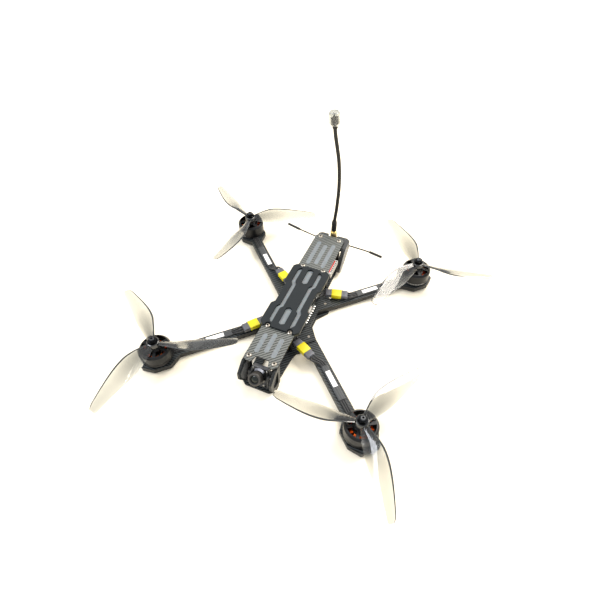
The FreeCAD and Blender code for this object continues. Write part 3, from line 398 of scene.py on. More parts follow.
# %% [markdown]
# ## The circuit board's tracks
# Under the solder mask the copper tracks stand slightly proud, which shows as lines a shade lighter.  A
# cell pattern with straight distances draws right-angled runs like real tracks.

# %% Board tracks
TRACK_PITCH_MM = 1.6
TRACK_EDGE = 0.32
track_cells = {"Vector": board_finish["place"], "Scale": per_mm(TRACK_PITCH_MM)}
tracks = add(board_finish["tree"], "TexVoronoi", track_cells, distance="CHEBYCHEV", feature="F1")
copper_below = add(board_finish["tree"], "Math", {0: tracks, 1: TRACK_EDGE}, operation="GREATER_THAN")
layer(board_finish, copper_below, "#162020")
emboss(board_finish, copper_below, 0.03)
board_mask = board_finish["material"]
print("board finish:", board_mask.name)

# %% [markdown]
# ## See-through parts
# The propellers are smoky polycarbonate: pale over a white floor, slate grey over black carbon, dark
# where one looks along a blade.  Only real absorption gives all three, so light is taken away by the
# millimetre inside the volume.  The antenna cap and the grip strips are milkier.

# %% Translucent finishes
SMOKE_PER_MM = 0.7
GLASSY = {"IOR": 1.585, "Transmission Weight": 1.0}
propeller_finish = start("moulded_polycarbonate_smoke", "#eeeeea", "#f8f8f4", 20.0, 0.8,
                         (0.05, 0.12), 0.01, GLASSY)
smoke = add(propeller_finish["tree"], "VolumeAbsorption",
            {"Color": linear("#5a5f5c"), "Density": SMOKE_PER_MM / MM})
output = propeller_finish["tree"].nodes["Material Output"]
propeller_finish["tree"].links.new(shown(smoke.outputs), output.inputs["Volume"])
polycarbonate = propeller_finish["material"]
# The thick hub and the leading edges: the same plastic, painted nearly black and glossy as painted shade
# for the long way that light has to go in them.
hub_smoke = plain("moulded_polycarbonate_hub", "#101212", "#1b1d1d", 6.0, 0.6, (0.12, 0.22), 0.01,
                  {"IOR": 1.585, "Coat Weight": 0.3, "Coat Roughness": 0.08})
painted_shade_blade_rim = plain("moulded_polycarbonate_rim", "#1b1e1e", "#272a2a", 8.0, 0.8, (0.08, 0.16), 0.01,
                  {"IOR": 1.585, "Coat Weight": 0.5, "Coat Roughness": 0.05})
# The antenna's cap, polycarbonate with a fine frosting: pale grey, with its element faintly seen inside.
cap_smoke = plain("frosted_cap_smoke", "#c3c6c6", "#d9dbda", 5.0, 0.5, (0.08, 0.18), 0.02,
                  {"IOR": 1.5, "Transmission Weight": 0.95})
# Baffle paint in a lens's throat, matt, so that almost nothing comes back; in a shaft's bore the same black
# is painted shade.
bore_shade_and_throat_black = plain("blackened_lens_throat", "#060707", "#0e0f10", 1.0, 0.2, (0.55, 0.7), 0.01,
                     {"IOR": 1.5})
# Optical glass with a green coating, dark because the throat behind it is: one sharp highlight.
element_coat = plain("coated_inner_element", "#0e1c16", "#1c3628", 1.5, 0.5, (0.03, 0.06), 0.001,
                     {"IOR": 1.8, "Coat Weight": 1.0, "Coat Roughness": 0.02})
front_coat = plain("coated_front_glass", "#040807", "#0b1712", 2.5, 1.0, (0.02, 0.05), 0.001,
                   {"IOR": 1.6, "Specular IOR Level": 0.2, "Coat Weight": 0.25, "Coat Roughness": 0.02})
# Silicone moulded over the plate's weave, which prints through: satin mid grey.
WEAVE_SHOWS = 0.4
strip_finish = start("silicone_grip_strip", "#505558", "#777d80", 4.0, 0.4, (0.3, 0.42), 0.02,
                     {"IOR": 1.41, "Subsurface Weight": 0.1, "Subsurface Scale": 0.001})
strip_crown = weave(strip_finish, 0.0, ("X", "Y"))[1]
print_through = add(strip_finish["tree"], "Math", {0: strip_crown, 1: WEAVE_SHOWS}, operation="MULTIPLY")
layer(strip_finish, print_through, "#858a8e")
grip_silicone = strip_finish["material"]
print("see-through:", polycarbonate.name, cap_smoke.name, front_coat.name)

# %% [markdown]
# ## Sleeves, labels and the camera's case
# The arm sleeves are braided polyester, so two sets of threads cross.  The labels are plain coated
# paper, bright and nearly matt, with grey ink.  The camera's case is glossy black, and its faces that look up
# are painted silver with a little metal in it, a painted reflection of the bright surround; its lens ring is
# anodised in a satin brownish grey.

# %% Sleeve, label and case finishes
THREAD_MM = 0.7
braid_finish = start("braided_polyester_sleeve", "#15181a", "#1d2022", 6.0, 0.4, (0.45, 0.6), 0.02,
                     {"IOR": 1.57, "Sheen Weight": 0.3})
braid = {"Vector": braid_finish["place"], "Scale": per_mm(THREAD_MM) / (2 * math.pi), "Distortion": 0.0}
strands = [add(braid_finish["tree"], "TexWave", braid, wave_type="BANDS", bands_direction=way)
           for way in "XY"]
both = {0: strands[0].outputs["Fac"], 1: strands[1].outputs["Fac"]}
crossing = add(braid_finish["tree"], "Math", both, operation="MULTIPLY")
layer(braid_finish, crossing, "#303436")
emboss(braid_finish, crossing, 0.08)
braided = braid_finish["material"]
label_paper = plain("coated_label_paper", "#eeeeec", "#fafaf8", 6.0, 0.3, (0.4, 0.55), 0.005, {"IOR": 1.5})
ink = plain("grey_label_ink", "#47474c", "#56565b", 1.0, 0.2, (0.5, 0.6), 0.002, {"IOR": 1.5})
red_paint = plain("red_anodised_stripe", "#b50d10", "#cf1c1c", 3.0, 0.3, (0.3, 0.4), 0.005,
                  {"Metallic": 0.2})
# The case's faces that look up: silver with a little metal, a painted reflection of the bright surround.
case_top_painted_reflection = plain("painted_camera_case", "#8f919a", "#adafb8", 3.0, 0.3, (0.24, 0.34), 0.008,
                   {"Metallic": 0.6, "Coat Weight": 0.3, "Coat Roughness": 0.15})
lens_ring = plain("anodised_lens_grey", "#3a3836", "#4a4744", 2.0, 0.25, (0.36, 0.48), 0.008,
                  {"Metallic": 0.5})
case_black = plain("painted_case_black", "#070808", "#0e0f10", 3.0, 0.3, (0.2, 0.32), 0.008,
                   {"Coat Weight": 0.4, "Coat Roughness": 0.12})
print("materials made:", len(bpy.data.materials))

# %% [markdown]
# ## Dressing the CAD parts
# Many CAD parts already have the right shape, so they stay and only get their finish.  The parts that
# new pieces stand for further on are dressed too, so that no part is ever bare.

# %% Dress the CAD nodes
CORNER_NAMES = ("front_right", "front_left", "rear_right", "rear_left")
ON_EVERY_CORNER = {"arm": carbon_arm, "bell": anodised, "shaft": ground_steel, "prop": polycarbonate,
                   "prop_nut": black_steel, "motor_base": anodised}
WEARERS = {
    carbon_plate: "bottom_plate mid_plate", carbon_top: "top_plate",
    carbon_side: "camera_plate_left camera_plate_right", rubber: "battery_pad", grip_silicone: "grip_strips",
    anodised: "standoffs", champagne: "top_screws bottom_screws", black_steel: "motor_screws stack_bolts",
    laminated: "stators", copper: "stator_windings",
    ground_steel: "motor_bearings boot_button camera_pivot_screws",
    board_mask: "esc_board flight_controller vtx_board", black_nylon: "stack_spacers receiver",
    pvc: "capacitor", silver: "vtx_heatsink", gold: "sma_jack antenna_base",
    printed: "antenna_mount camera_mount", stem_jacket: "antenna_stem rx_antenna", cap_smoke: "antenna_cap",
    case_top_painted_reflection: "camera_body", lens_ring: "camera_lens", grey_nylon: "motor_plugs",
    wire_jacket: "motor_wires", braided: "wire_sleeves",
}
dressing = {f"{part}_{corner}": finish for part, finish in ON_EVERY_CORNER.items() for corner in CORNER_NAMES}
dressing.update((name, finish) for finish, names in WEARERS.items() for name in names.split())
for name, finish in dressing.items():
    nodes[name].data.materials.clear()
    nodes[name].data.materials.append(finish)
print("dressed:", len(dressing), "of", len(nodes))

# %% [markdown]
# ## Helpers for shapes
# Shapes are drawn in millimetres, which are the numbers a maker has in mind, and made metres when the
# piece is finished.  A block gets all its edges rounded, because no moulded or machined edge is truly
# sharp.  A turned part is an outline spun once round the Z axis.  A stamp puts a copy of a small shape
# at each place where the drone has one.

# %% Shape helpers
def piece(name, shape, body, finishes, stands_for=(), crease=32.0):
    """Turns a millimetre shape into a named object in metres that rides on a body."""
    bmesh.ops.scale(shape, vec=(MM, MM, MM), verts=shape.verts)
    mesh = bpy.data.meshes.new(name)
    shape.to_mesh(mesh)
    shape.free()
    if "custom_normal" in mesh.attributes:
        mesh.attributes.remove(mesh.attributes["custom_normal"])
    mesh.shade_smooth()
    mesh.set_sharp_from_angle(angle=math.radians(crease))
    for finish in finishes:
        mesh.materials.append(finish)
    made = into_scene(name, mesh)
    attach(made, body)
    if stands_for:
        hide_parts(*stands_for)
    print(name, "has", len(mesh.polygons), "faces")


def brick(shape, low, high, rounding, finish=0, segments=2):
    """Adds a block between two corners, with every edge rounded."""
    low, high = Vector(low), Vector(high)
    verts = bmesh.ops.create_cube(shape, size=1.0)["verts"]
    bmesh.ops.scale(shape, vec=high - low, verts=verts)
    bmesh.ops.translate(shape, vec=(low + high) / 2, verts=verts)
    edges = list(dict.fromkeys(edge for vert in verts for edge in vert.link_edges))
    rounded = bmesh.ops.bevel(shape, geom=edges, offset=rounding, segments=segments, profile=0.5,
                              affect="EDGES", material=-1)
    for vert in rounded["verts"]:
        for face in vert.link_faces:
            face.material_index = finish


def turned_part(profile, steps, finish=0):
    """A shape spun about Z from a list of (radius, height) points; ends on the axis are closed."""
    shape = bmesh.new()
    verts = [shape.verts.new((radius, 0, height)) for radius, height in profile]
    edges = [shape.edges.new(pair) for pair in zip(verts, verts[1:])]
    bmesh.ops.spin(shape, geom=verts + edges, cent=(0, 0, 0), axis=(0, 0, 1), dvec=(0, 0, 0),
                   angle=2 * math.pi, steps=steps, use_merge=True)
    bmesh.ops.remove_doubles(shape, verts=shape.verts, dist=0.001)
    bmesh.ops.recalc_face_normals(shape, faces=shape.faces)
    for face in shape.faces:
        face.material_index = finish
    return shape


def stamp(shape, template, matrix):
    """Adds a copy of a template to a shape, placed by a matrix."""
    copy = template.copy()
    bmesh.ops.transform(copy, matrix=matrix, verts=copy.verts)
    mesh = bpy.data.meshes.new("stamp")
    copy.to_mesh(mesh)
    copy.free()
    shape.from_mesh(mesh)
    bpy.data.meshes.remove(mesh)


def placed(x, y, z=0.0, turn=0.0):
    """The matrix that turns about Z by an angle in radians and then moves to a point."""
    return Matrix.Translation((x, y, z)) @ Matrix.Rotation(turn, 4, "Z")


# %% [markdown]
# ## Copies of CAD parts with more than one finish
# Some CAD parts are several solids of different materials: a board and its chips, a bell and its
# magnets.  A welded copy of the part is split into its solids, each face gets the finish that its
# solid and place call for, and the copy stands for the CAD part.

# %% Copy and paint helpers
def cad_copy(*names):
    """A welded copy of some CAD parts, in millimetres."""
    shape = bmesh.new()
    for name in names:
        shape.from_mesh(nodes[name].data)
    bmesh.ops.scale(shape, vec=(1 / MM, 1 / MM, 1 / MM), verts=shape.verts)
    bmesh.ops.remove_doubles(shape, verts=shape.verts, dist=0.002)
    return shape


def solids(shape):
    """The separate solids of a shape as lists of faces, in the order of their first face."""
    shape.faces.index_update()
    left = dict.fromkeys(shape.faces)
    groups = []
    while left:
        front = [next(iter(left))]
        left.pop(front[0])
        group = []
        while front:
            face = front.pop()
            group.append(face)
            for edge in face.edges:
                for other in edge.link_faces:
                    if other in left:
                        left.pop(other)
                        front.append(other)
        groups.append(group)
    return groups


def extent(group):
    """The lowest and highest corner of a list of faces."""
    points = [vert.co for face in group for vert in face.verts]
    return Vector(map(min, zip(*points))), Vector(map(max, zip(*points)))


def paint(shape, choose):
    """Gives each face the finish number chosen from its solid's corners, its middle and its normal."""
    for group in solids(shape):
        low, high = extent(group)
        for face in group:
            face.material_index = choose(low, high, face.calc_center_median(), face.normal)
    return shape


def by_size(axis, least):
    """A chooser for paint: 0 for a solid at least this long on an axis, in millimetres, and 1 for others."""
    return lambda low, high, middle, normal: 0 if high[axis] - low[axis] > least else 1


motors = {corner: sum(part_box("shaft_" + corner), Vector()) / 2 / MM for corner in CORNER_NAMES}
headings = {corner: math.atan2(place.y, place.x) for corner, place in motors.items()}
print("motor centres:", {corner: (round(p.x, 1), round(p.y, 1)) for corner, p in motors.items()})

# %% [markdown]
# ## Plates with broken edges
# A router leaves a carbon edge sharp enough to cut a cable, so makers break it with a small chamfer,
# and the chamfer is what draws the thin light line round a plate.  The copy's flat areas are joined
# into single faces first, and then only the sharp edges between a flat side and a sawn one are bevelled.

# %% Plates and pad
CHAMFER_MM = 0.22
SHARP = math.radians(60)
NEARLY_LEVEL = math.radians(0.5)
UPRIGHT, SIDEWAYS = 0.9, 0.1


def broken_edges(shape, width):
    """Bevels the sharp edges of a plate's flat sides."""
    bmesh.ops.dissolve_limit(shape, angle_limit=NEARLY_LEVEL, verts=shape.verts, edges=shape.edges)
    sharp = [edge for edge in shape.edges if len(edge.link_faces) == 2 and edge.calc_face_angle() > SHARP
             and min(abs(face.normal.z) for face in edge.link_faces) < SIDEWAYS
             and max(abs(face.normal.z) for face in edge.link_faces) > UPRIGHT]
    bmesh.ops.bevel(shape, geom=sharp, offset=width, segments=1, profile=0.5, affect="EDGES", material=-1,
                    clamp_overlap=True)
    bmesh.ops.triangulate(shape, faces=shape.faces)
    return shape


for name, finish in (("top_plate", carbon_top), ("mid_plate", carbon_plate)):
    plate = broken_edges(cad_copy(name), CHAMFER_MM)
    piece(name + "_chamfered", plate, "frame", [finish], [name])
for corner in CORNER_NAMES:
    arm = "arm_" + corner
    plate = broken_edges(cad_copy(arm), 2 * CHAMFER_MM)
    piece(arm + "_chamfered", plate, "frame", [carbon_arm], [arm])
pad = broken_edges(cad_copy("battery_pad"), CHAMFER_MM)
piece("battery_pad_moulded", pad, "frame", [rubber], ["battery_pad"])

# %% [markdown]
# ## Bells
# Each turning bell is one anodised can with fourteen nickel-plated magnets glued inside.  Makers
# balance bells and ring them with tick marks by laser; here the ring is a plain row of light ticks.

# %% Bells
TICKS = 20
TICK_SPAN = math.radians(130)
TICK_HALF = 0.4
TICK_FOOT, TICK_HEAD = 0.9, 2.3
# A magnet is never this wide in the plan, and the can is.
CAN_LEAST_WIDTH = 20
# A bell stops wherever it likes, so each row of ticks faces its own way, in degrees.
TICK_TURN = {"front_right": 150, "front_left": 60, "rear_right": 200, "rear_left": -105}

for corner, centre in motors.items():
    can = paint(cad_copy("bell_" + corner), by_size(0, CAN_LEAST_WIDTH))
    low, high = extent(list(can.faces))
    radius = (high.x - low.x) / 2
    tick = bmesh.new()
    brick(tick, (radius - 0.2, -TICK_HALF, low.z + TICK_FOOT), (radius + 0.02, TICK_HALF, low.z + TICK_HEAD),
          0.02, finish=2, segments=1)
    for i in range(TICKS):
        swing = math.radians(TICK_TURN[corner]) + TICK_SPAN * (i / (TICKS - 1) - 0.5)
        stamp(can, tick, placed(centre.x, centre.y, 0, swing))
    tick.free()
    piece("motor_bell_" + corner, can, "rotor_" + corner, [anodised, nickel, tick_paint],
          ["bell_" + corner])

# %% [markdown]
# ## Shafts and propellers
# A shaft's bored end looks black because light that goes in doesn't come out, so the bore is painted
# dark.  A propeller is moulded in one piece.  Each blade is a ring of edges shaped as a thin curved
# section, extruded outwards one station at a time, while the section grows, twists and thins.  Every
# vertex remembers its place round the section in a layer, and the extrusion copies it, so a station
# only has to move the new ring.  The leading edge is thick, and light caught in the smoky plastic
# travels along it, so it looks dark: it gets painted shade, the same plastic made nearly black, dark from
# every side.

# %% Shafts and propellers
BORE_RADIUS, BORE_DEPTH = 1.3, 4.5
PROP_RADIUS = 88.9
PROP_PITCH = 101.6
STEEPEST = math.radians(34)
# Half the thickness at the middle of the chord: near the hub, and from 0.6 of the radius outwards.
ROOT_HALF, TIP_HALF, THIN_FROM = 1.2, 0.4, 0.6
CAMBER = 0.055
HUB_RADIUS, HUB_HEIGHT, HUB_BORE = 6.75, 6.8, 2.52
# Blade stations: fraction of the radius, chord, and how far the chord's middle sits ahead.
STATIONS = ((0.074, 9.8, 0.1), (0.12, 12.0, 0.4), (0.22, 17.0, 1.2), (0.34, 20.8, 1.8), (0.48, 20.6, 1.6),
            (0.62, 18.0, 0.8), (0.76, 14.6, -0.6), (0.88, 11.6, -2.2), (0.96, 9.6, -3.6), (1.0, 5.6, -4.4))
STEPS_BETWEEN = 3
EDGE_HALF = 0.22
RIM_SHARE = 0.8
BLADES = 3


def eased(rows, position):
    """The row at a position between given rows, on a smooth curve through them."""
    i = min(int(position), len(rows) - 2)
    t = position - i
    around = rows[max(i - 1, 0)], rows[i], rows[i + 1], rows[min(i + 2, len(rows) - 1)]
    return [b + 0.5 * t * ((c - a) + t * ((2 * a - 5 * b + 4 * c - d) + t * (3 * (b - c) + d - a)))
            for a, b, c, d in zip(*around)]


def section_point(station, ahead, above):
    """A vertex of the blade's section: `ahead` runs from -1 to 1 along the chord."""
    fraction, chord, lead = station
    reach = fraction * PROP_RADIUS
    slope = min(math.atan2(PROP_PITCH, 2 * math.pi * reach), STEEPEST)
    fullness = 1 - ahead * ahead
    half_thick = ROOT_HALF - (ROOT_HALF - TIP_HALF) * min(fraction / THIN_FROM, 1.0)
    side = above / math.sqrt(fullness) if fullness > 0.001 else 0.0
    height = CAMBER * chord * fullness + side * (EDGE_HALF + (half_thick - EDGE_HALF) * fullness)
    along = ahead * chord / 2
    return (reach, along * math.cos(slope) - height * math.sin(slope) + lead,
            along * math.sin(slope) + height * math.cos(slope))


blade = bmesh.new()
ahead_layer = blade.verts.layers.float.new("ahead")
above_layer = blade.verts.layers.float.new("above")
for vert in bmesh.ops.create_circle(blade, segments=26, radius=1.0)["verts"]:
    vert[ahead_layer], vert[above_layer] = vert.co.x, vert.co.y
    vert.co = section_point(STATIONS[0], vert.co.x, vert.co.y)
ring = list(blade.edges)
for step in range(1, STEPS_BETWEEN * (len(STATIONS) - 1) + 1):
    station = eased(STATIONS, step / STEPS_BETWEEN)
    made = bmesh.ops.extrude_edge_only(blade, edges=ring)["geom"]
    ring = [item for item in made if isinstance(item, bmesh.types.BMEdge) and item.is_boundary]
    for vert in {vert for edge in ring for vert in edge.verts}:
        vert.co = section_point(station, vert[ahead_layer], vert[above_layer])
bmesh.ops.holes_fill(blade, edges=blade.edges, sides=0)
# Faces along the leading edge get the rim finish, which is painted shade.
for face in blade.faces:
    leading = sum(vert[ahead_layer] for vert in face.verts) / len(face.verts)
    face.material_index = 1 if leading > RIM_SHARE else 0
bmesh.ops.recalc_face_normals(blade, faces=blade.faces)
hub = turned_part([(HUB_BORE, 0.0), (6.35, 0.0), (HUB_RADIUS, 0.4), (HUB_RADIUS, 2.6), (6.5, 2.9), (6.5, 6.4),
                   (6.1, HUB_HEIGHT), (HUB_BORE, HUB_HEIGHT), (HUB_BORE, 0.0)], 48, finish=2)

# Which way each propeller turns, seen from above, and the angle at which one of its blades stopped.
SPIN = {"front_right": -1, "front_left": 1, "rear_right": 1, "rear_left": -1}
BLADE_TURN = {"front_right": 22.3, "front_left": 65.3, "rear_right": 29.8, "rear_left": 6.0}
for corner, centre in motors.items():
    shaft = cad_copy("shaft_" + corner)
    shaft_top = extent(list(shaft.faces))[1].z
    # Faces inside the shaft's bore get painted shade.
    paint(shaft, lambda low, high, middle, normal: 1 if (middle - centre).xy.length < BORE_RADIUS
          and shaft_top - BORE_DEPTH < middle.z < shaft_top - 0.01 else 0)
    piece("motor_shaft_" + corner, shaft, "rotor_" + corner, [dark_steel, bore_shade_and_throat_black],
          ["shaft_" + corner])
    hub_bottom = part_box("prop_nut_" + corner)[0].z / MM - HUB_HEIGHT
    propeller = bmesh.new()
    stamp(propeller, hub, placed(centre.x, centre.y, hub_bottom))
    for i in range(BLADES):
        swing = math.radians(BLADE_TURN[corner]) + i * 2 * math.pi / BLADES
        spot = placed(centre.x, centre.y, hub_bottom + HUB_HEIGHT / 2, swing)
        stamp(propeller, blade, spot @ Matrix.Diagonal((1, SPIN[corner], 1, 1)))
    bmesh.ops.recalc_face_normals(propeller, faces=propeller.faces)
    piece("propeller_" + corner, propeller, "rotor_" + corner, [polycarbonate, painted_shade_blade_rim, hub_smoke],
          ["prop_" + corner], crease=50.0)
blade.free()
hub.free()

# %% [markdown]
# ## Windings
# Twelve stator teeth are each wound with a few turns of enamelled copper, and the turns show as
# ridges.  One coil is a rounded ring of edges, extruded along the tooth: out for each wire, in for each
# gap, and then joined back to where it began, so that it is a closed tube with the tooth inside.

# %% Windings
TEETH = 12
TURNS = 7
COIL_INNER, COIL_OUTER = 8.9, 12.3
# Half the width and height of a coil: where it touches the tooth, between two wires, and on a wire.
TOOTH_HALF = (1.12, 3.52)
GAP_HALF = (1.75, 4.65)
WIRE_HALF = (1.98, 4.88)


def rounded_ring(shape, half_width, half_height, rounding, segments=2):
    """A ring of edges in the YZ plane shaped as a rectangle with round corners."""
    verts = bmesh.ops.create_grid(shape, x_segments=1, y_segments=1, size=1.0)["verts"]
    bmesh.ops.scale(shape, vec=(half_width, half_height, 1), verts=verts)
    bmesh.ops.bevel(shape, geom=verts, offset=rounding, segments=segments, profile=0.5, affect="VERTICES",
                    material=-1)
    bmesh.ops.delete(shape, geom=list(shape.faces), context="FACES_ONLY")
    upright = Matrix(((0, 0, 1, 0), (1, 0, 0, 0), (0, 1, 0, 0), (0, 0, 0, 1)))
    bmesh.ops.transform(shape, matrix=upright, verts=shape.verts)
    return list(shape.edges)


def grow(shape, edges, step, factors):
    """Extrudes a ring of edges along X and scales the new ring about the X axis."""
    made = bmesh.ops.extrude_edge_only(shape, edges=edges)["geom"]
    verts = [item for item in made if isinstance(item, bmesh.types.BMVert)]
    bmesh.ops.translate(shape, vec=(step, 0, 0), verts=verts)
    bmesh.ops.scale(shape, vec=(1, *factors), verts=verts)
    return [item for item in made if isinstance(item, bmesh.types.BMEdge) and item.is_boundary]


def ratio(new, old):
    """How much a ring grows in width and in height."""
    return new[0] / old[0], new[1] / old[1]


coil = bmesh.new()
first = rounded_ring(coil, *TOOTH_HALF, 0.3)
ring = grow(coil, first, 0.0, ratio(GAP_HALF, TOOTH_HALF))
half_turn = (COIL_OUTER - COIL_INNER) / TURNS / 2
for turn in range(TURNS):
    ring = grow(coil, ring, half_turn, ratio(WIRE_HALF, GAP_HALF))
    ring = grow(coil, ring, half_turn, ratio(GAP_HALF, WIRE_HALF))
ring = grow(coil, ring, 0.0, ratio(TOOTH_HALF, GAP_HALF))
bmesh.ops.bridge_loops(coil, edges=first + ring)
bmesh.ops.recalc_face_normals(coil, faces=coil.faces)
stator_low, stator_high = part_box("stator_windings")
coil_level = (stator_low.z + stator_high.z) / 2 / MM
windings = bmesh.new()
for corner, centre in motors.items():
    for tooth in range(TEETH):
        swing = headings[corner] + tooth * 2 * math.pi / TEETH
        spot = placed(centre.x, centre.y, coil_level, swing)
        stamp(windings, coil, spot @ Matrix.Translation((COIL_INNER, 0, 0)))
coil.free()
piece("stator_coils", windings, "frame", [copper], ["stator_windings"], crease=80)

# %% [markdown]
# ## Motor plugs
# Each motor unplugs at a yellow and grey three-pin connector.  Yellow is the middle body, with ridges
# to grip; grey are the two back shells, each with a raised lip where the wires go in.  The places and
# directions are measured from the CAD solids: the line from one grey shell to the other.

# %% Motor plugs
cad_plugs = cad_copy("motor_plugs")
plug_boxes = sorted((extent(group) for group in solids(cad_plugs)), key=lambda box: box[1].z - box[0].z)
cad_plugs.free()
SHELLS = 8
shells, bodies = plug_boxes[:SHELLS], plug_boxes[SHELLS:]
print("plug bodies:", len(bodies), "back shells:", len(shells))

PLUG_HALF = Vector((6.0, 5.35, 2.75))
RIDGES, RIDGE_PITCH, RIDGE_WIDTH = 4, 2.0, 0.8
# The grey parts at each end: where each starts and stops, half its width and height, its place across
# the plug, its rounding and the steps in that.  First the back shell, then its lip, then each wire's spout.
GREY_PARTS = [(6.0, 13.2, 4.9, 2.4, 0.0, 0.7, 3), (6.05, 7.6, 5.1, 2.6, 0.0, 0.4, 2)]
GREY_PARTS += [(12.6, 13.6, 1.45, 1.6, wire, 0.45, 2) for wire in (-3.3, 0.0, 3.3)]

plug = bmesh.new()
brick(plug, -PLUG_HALF, PLUG_HALF, 0.6, finish=0, segments=3)
for i in range(RIDGES):
    for level in (-2.76, 2.6):
        ridge = -3.6 + i * RIDGE_PITCH
        brick(plug, (ridge, -4.2, level), (ridge + RIDGE_WIDTH, 4.2, level + 0.16), 0.07, segments=1)
for end in (-1, 1):
    for inner, outer, half_wide, half_high, across, rounding, segments in GREY_PARTS:
        near, far = sorted((end * inner, end * outer))
        brick(plug, (near, across - half_wide, -half_high), (far, across + half_wide, half_high), rounding,
              finish=1, segments=segments)
plugs = bmesh.new()
for low, high in bodies:
    centre = (low + high) / 2
    pair = sorted(shells, key=lambda box: ((box[0] + box[1]) / 2 - centre).length)[:2]
    line = (pair[0][0] + pair[0][1]) - (pair[1][0] + pair[1][1])
    stamp(plugs, plug, placed(centre.x, centre.y, centre.z, math.atan2(line.y, line.x)))
plug.free()
piece("motor_plugs_moulded", plugs, "frame", [yellow_nylon, grey_nylon], ["motor_plugs"])

# %% [markdown]
# ## Arm sleeves and their labels
# A woven sleeve holds the three motor wires flat on each arm.  It is a tube that swells over each wire
# and tucks in at its ends.  The ring of its section starts as a circle, is squashed into a flat oval,
# and gets three swellings on top.  A blank white label is stuck on each, with plain ruled marks.

# %% Where the sleeves lie
cad_sleeves = cad_copy("wire_sleeves")
sleeve_boxes = [extent(group) for group in solids(cad_sleeves)]
cad_sleeves.free()
sleeve_top = max(high.z for low, high in sleeve_boxes)
sleeve_bottom = min(low.z for low, high in sleeve_boxes)
half_height = (sleeve_top - sleeve_bottom) / 2
print("sleeves:", len(sleeve_boxes), "from", round(sleeve_bottom, 2), "to", round(sleeve_top, 2), "mm")

# %% Sleeves and labels
HALF_WIDTH = 3.98
WIRE_PITCH = 2.3
# How far the sleeve stands up over a wire, and how far it sinks beside the outer two.
SWELL, SINK = 0.17, 0.1
# Powers below 1 flatten a circle towards a rectangle with round ends.
SQUARE_ACROSS, SQUARE_UP = 0.55, 0.7
# Along its length the sleeve widens and narrows by this share.
BREATH, BREATH_STEP = 0.012, 2.4
SLEEVE_STATIONS = 14
# The sleeves to label lie further out than this; the label's middle, size and marks.
OUTER_SLEEVE = 60
LABEL_REACH = 98.0
LABEL_HALF = (10.15, 2.5)
MARKS = (1.6, 0.8, 1.2, 1.6, 0.8)
MARK_PITCH, MARK_WIDTH = 1.8, 0.5

sleeves = bmesh.new()
labels = bmesh.new()
for heading in headings.values():
    outward = Vector((math.cos(heading), math.sin(heading), 0))
    box = next(b for b in sleeve_boxes if ((b[0] + b[1]) / 2).dot(outward) > OUTER_SLEEVE)
    middle = Vector((*((box[0] + box[1]) / 2).xy, 0)).dot(outward)
    span = (abs((box[1] - box[0]).x) - 2 * HALF_WIDTH * abs(outward.y)) / abs(outward.x)
    tube = bmesh.new()
    bmesh.ops.create_circle(tube, segments=40, radius=1.0)
    for vert in tube.verts:
        flat = math.copysign(abs(vert.co.x) ** SQUARE_ACROSS, vert.co.x) * (HALF_WIDTH - 0.1)
        lift = math.copysign(abs(vert.co.y) ** SQUARE_UP, vert.co.y) * (half_height - 0.2)
        swell = SWELL * math.cos(2 * math.pi * flat / WIRE_PITCH) if abs(flat) < 1.5 * WIRE_PITCH else -SINK
        vert.co = (0, flat, lift + (swell if vert.co.y > 0.2 else 0.0))
    ring = list(tube.edges)
    ring = grow(tube, ring, 0.0, (1.0, 1.0))
    for station in range(SLEEVE_STATIONS):
        breath = 1.0 + BREATH * math.sin(BREATH_STEP * station)
        last = 1.0 + BREATH * math.sin(BREATH_STEP * (station - 1)) if station else 1.0
        ring = grow(tube, ring, span / SLEEVE_STATIONS, (breath / last, 1.0))
    bmesh.ops.holes_fill(tube, edges=tube.edges, sides=0)
    bmesh.ops.recalc_face_normals(tube, faces=tube.faces)
    start_at = outward * (middle - span / 2)
    stamp(sleeves, tube, placed(start_at.x, start_at.y, sleeve_bottom + half_height - 0.02, heading))
    tube.free()
    spot = outward * LABEL_REACH
    label = bmesh.new()
    brick(label, (-LABEL_HALF[0], -LABEL_HALF[1], -0.14), (*LABEL_HALF, 0.0), 0.06, finish=0, segments=1)
    for i, length in enumerate(MARKS):
        mark = -4.0 + i * MARK_PITCH
        brick(label, (mark, -length / 2, -0.01), (mark + MARK_WIDTH, length / 2, 0.02), 0.01,
              finish=1, segments=1)
    stamp(labels, label, placed(spot.x, spot.y, sleeve_top - 0.03, heading))
    label.free()
piece("arm_sleeves_woven", sleeves, "frame", [braided], ["wire_sleeves"])
piece("sleeve_labels", labels, "frame", [label_paper, ink])

# %% [markdown]
# ## Speed controller and flight controller
# The boards are carried over with their chips in moulded epoxy.  What makes a real board look alive is
# the solder: bright domes on square pads along both edges, and rows of tiny ceramic parts between.

# %% Speed controller
BOARD_THICKNESS = 1.6
BOARD_LEAST_WIDTH = 30
speed_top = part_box("esc_board")[0].z / MM + BOARD_THICKNESS
# Rows of pads and parts: how far out they lie, where they start, their pitch and how many there are.
PAD_START, PAD_PITCH, PADS = -13.1, 3.75, 8
PART_START, PART_PITCH, PARTS = -12.4, 3.1, 9
LUG_REACH, DOME_REACH, PART_REACHES = 18.2, 17.6, (10.7, 3.2)

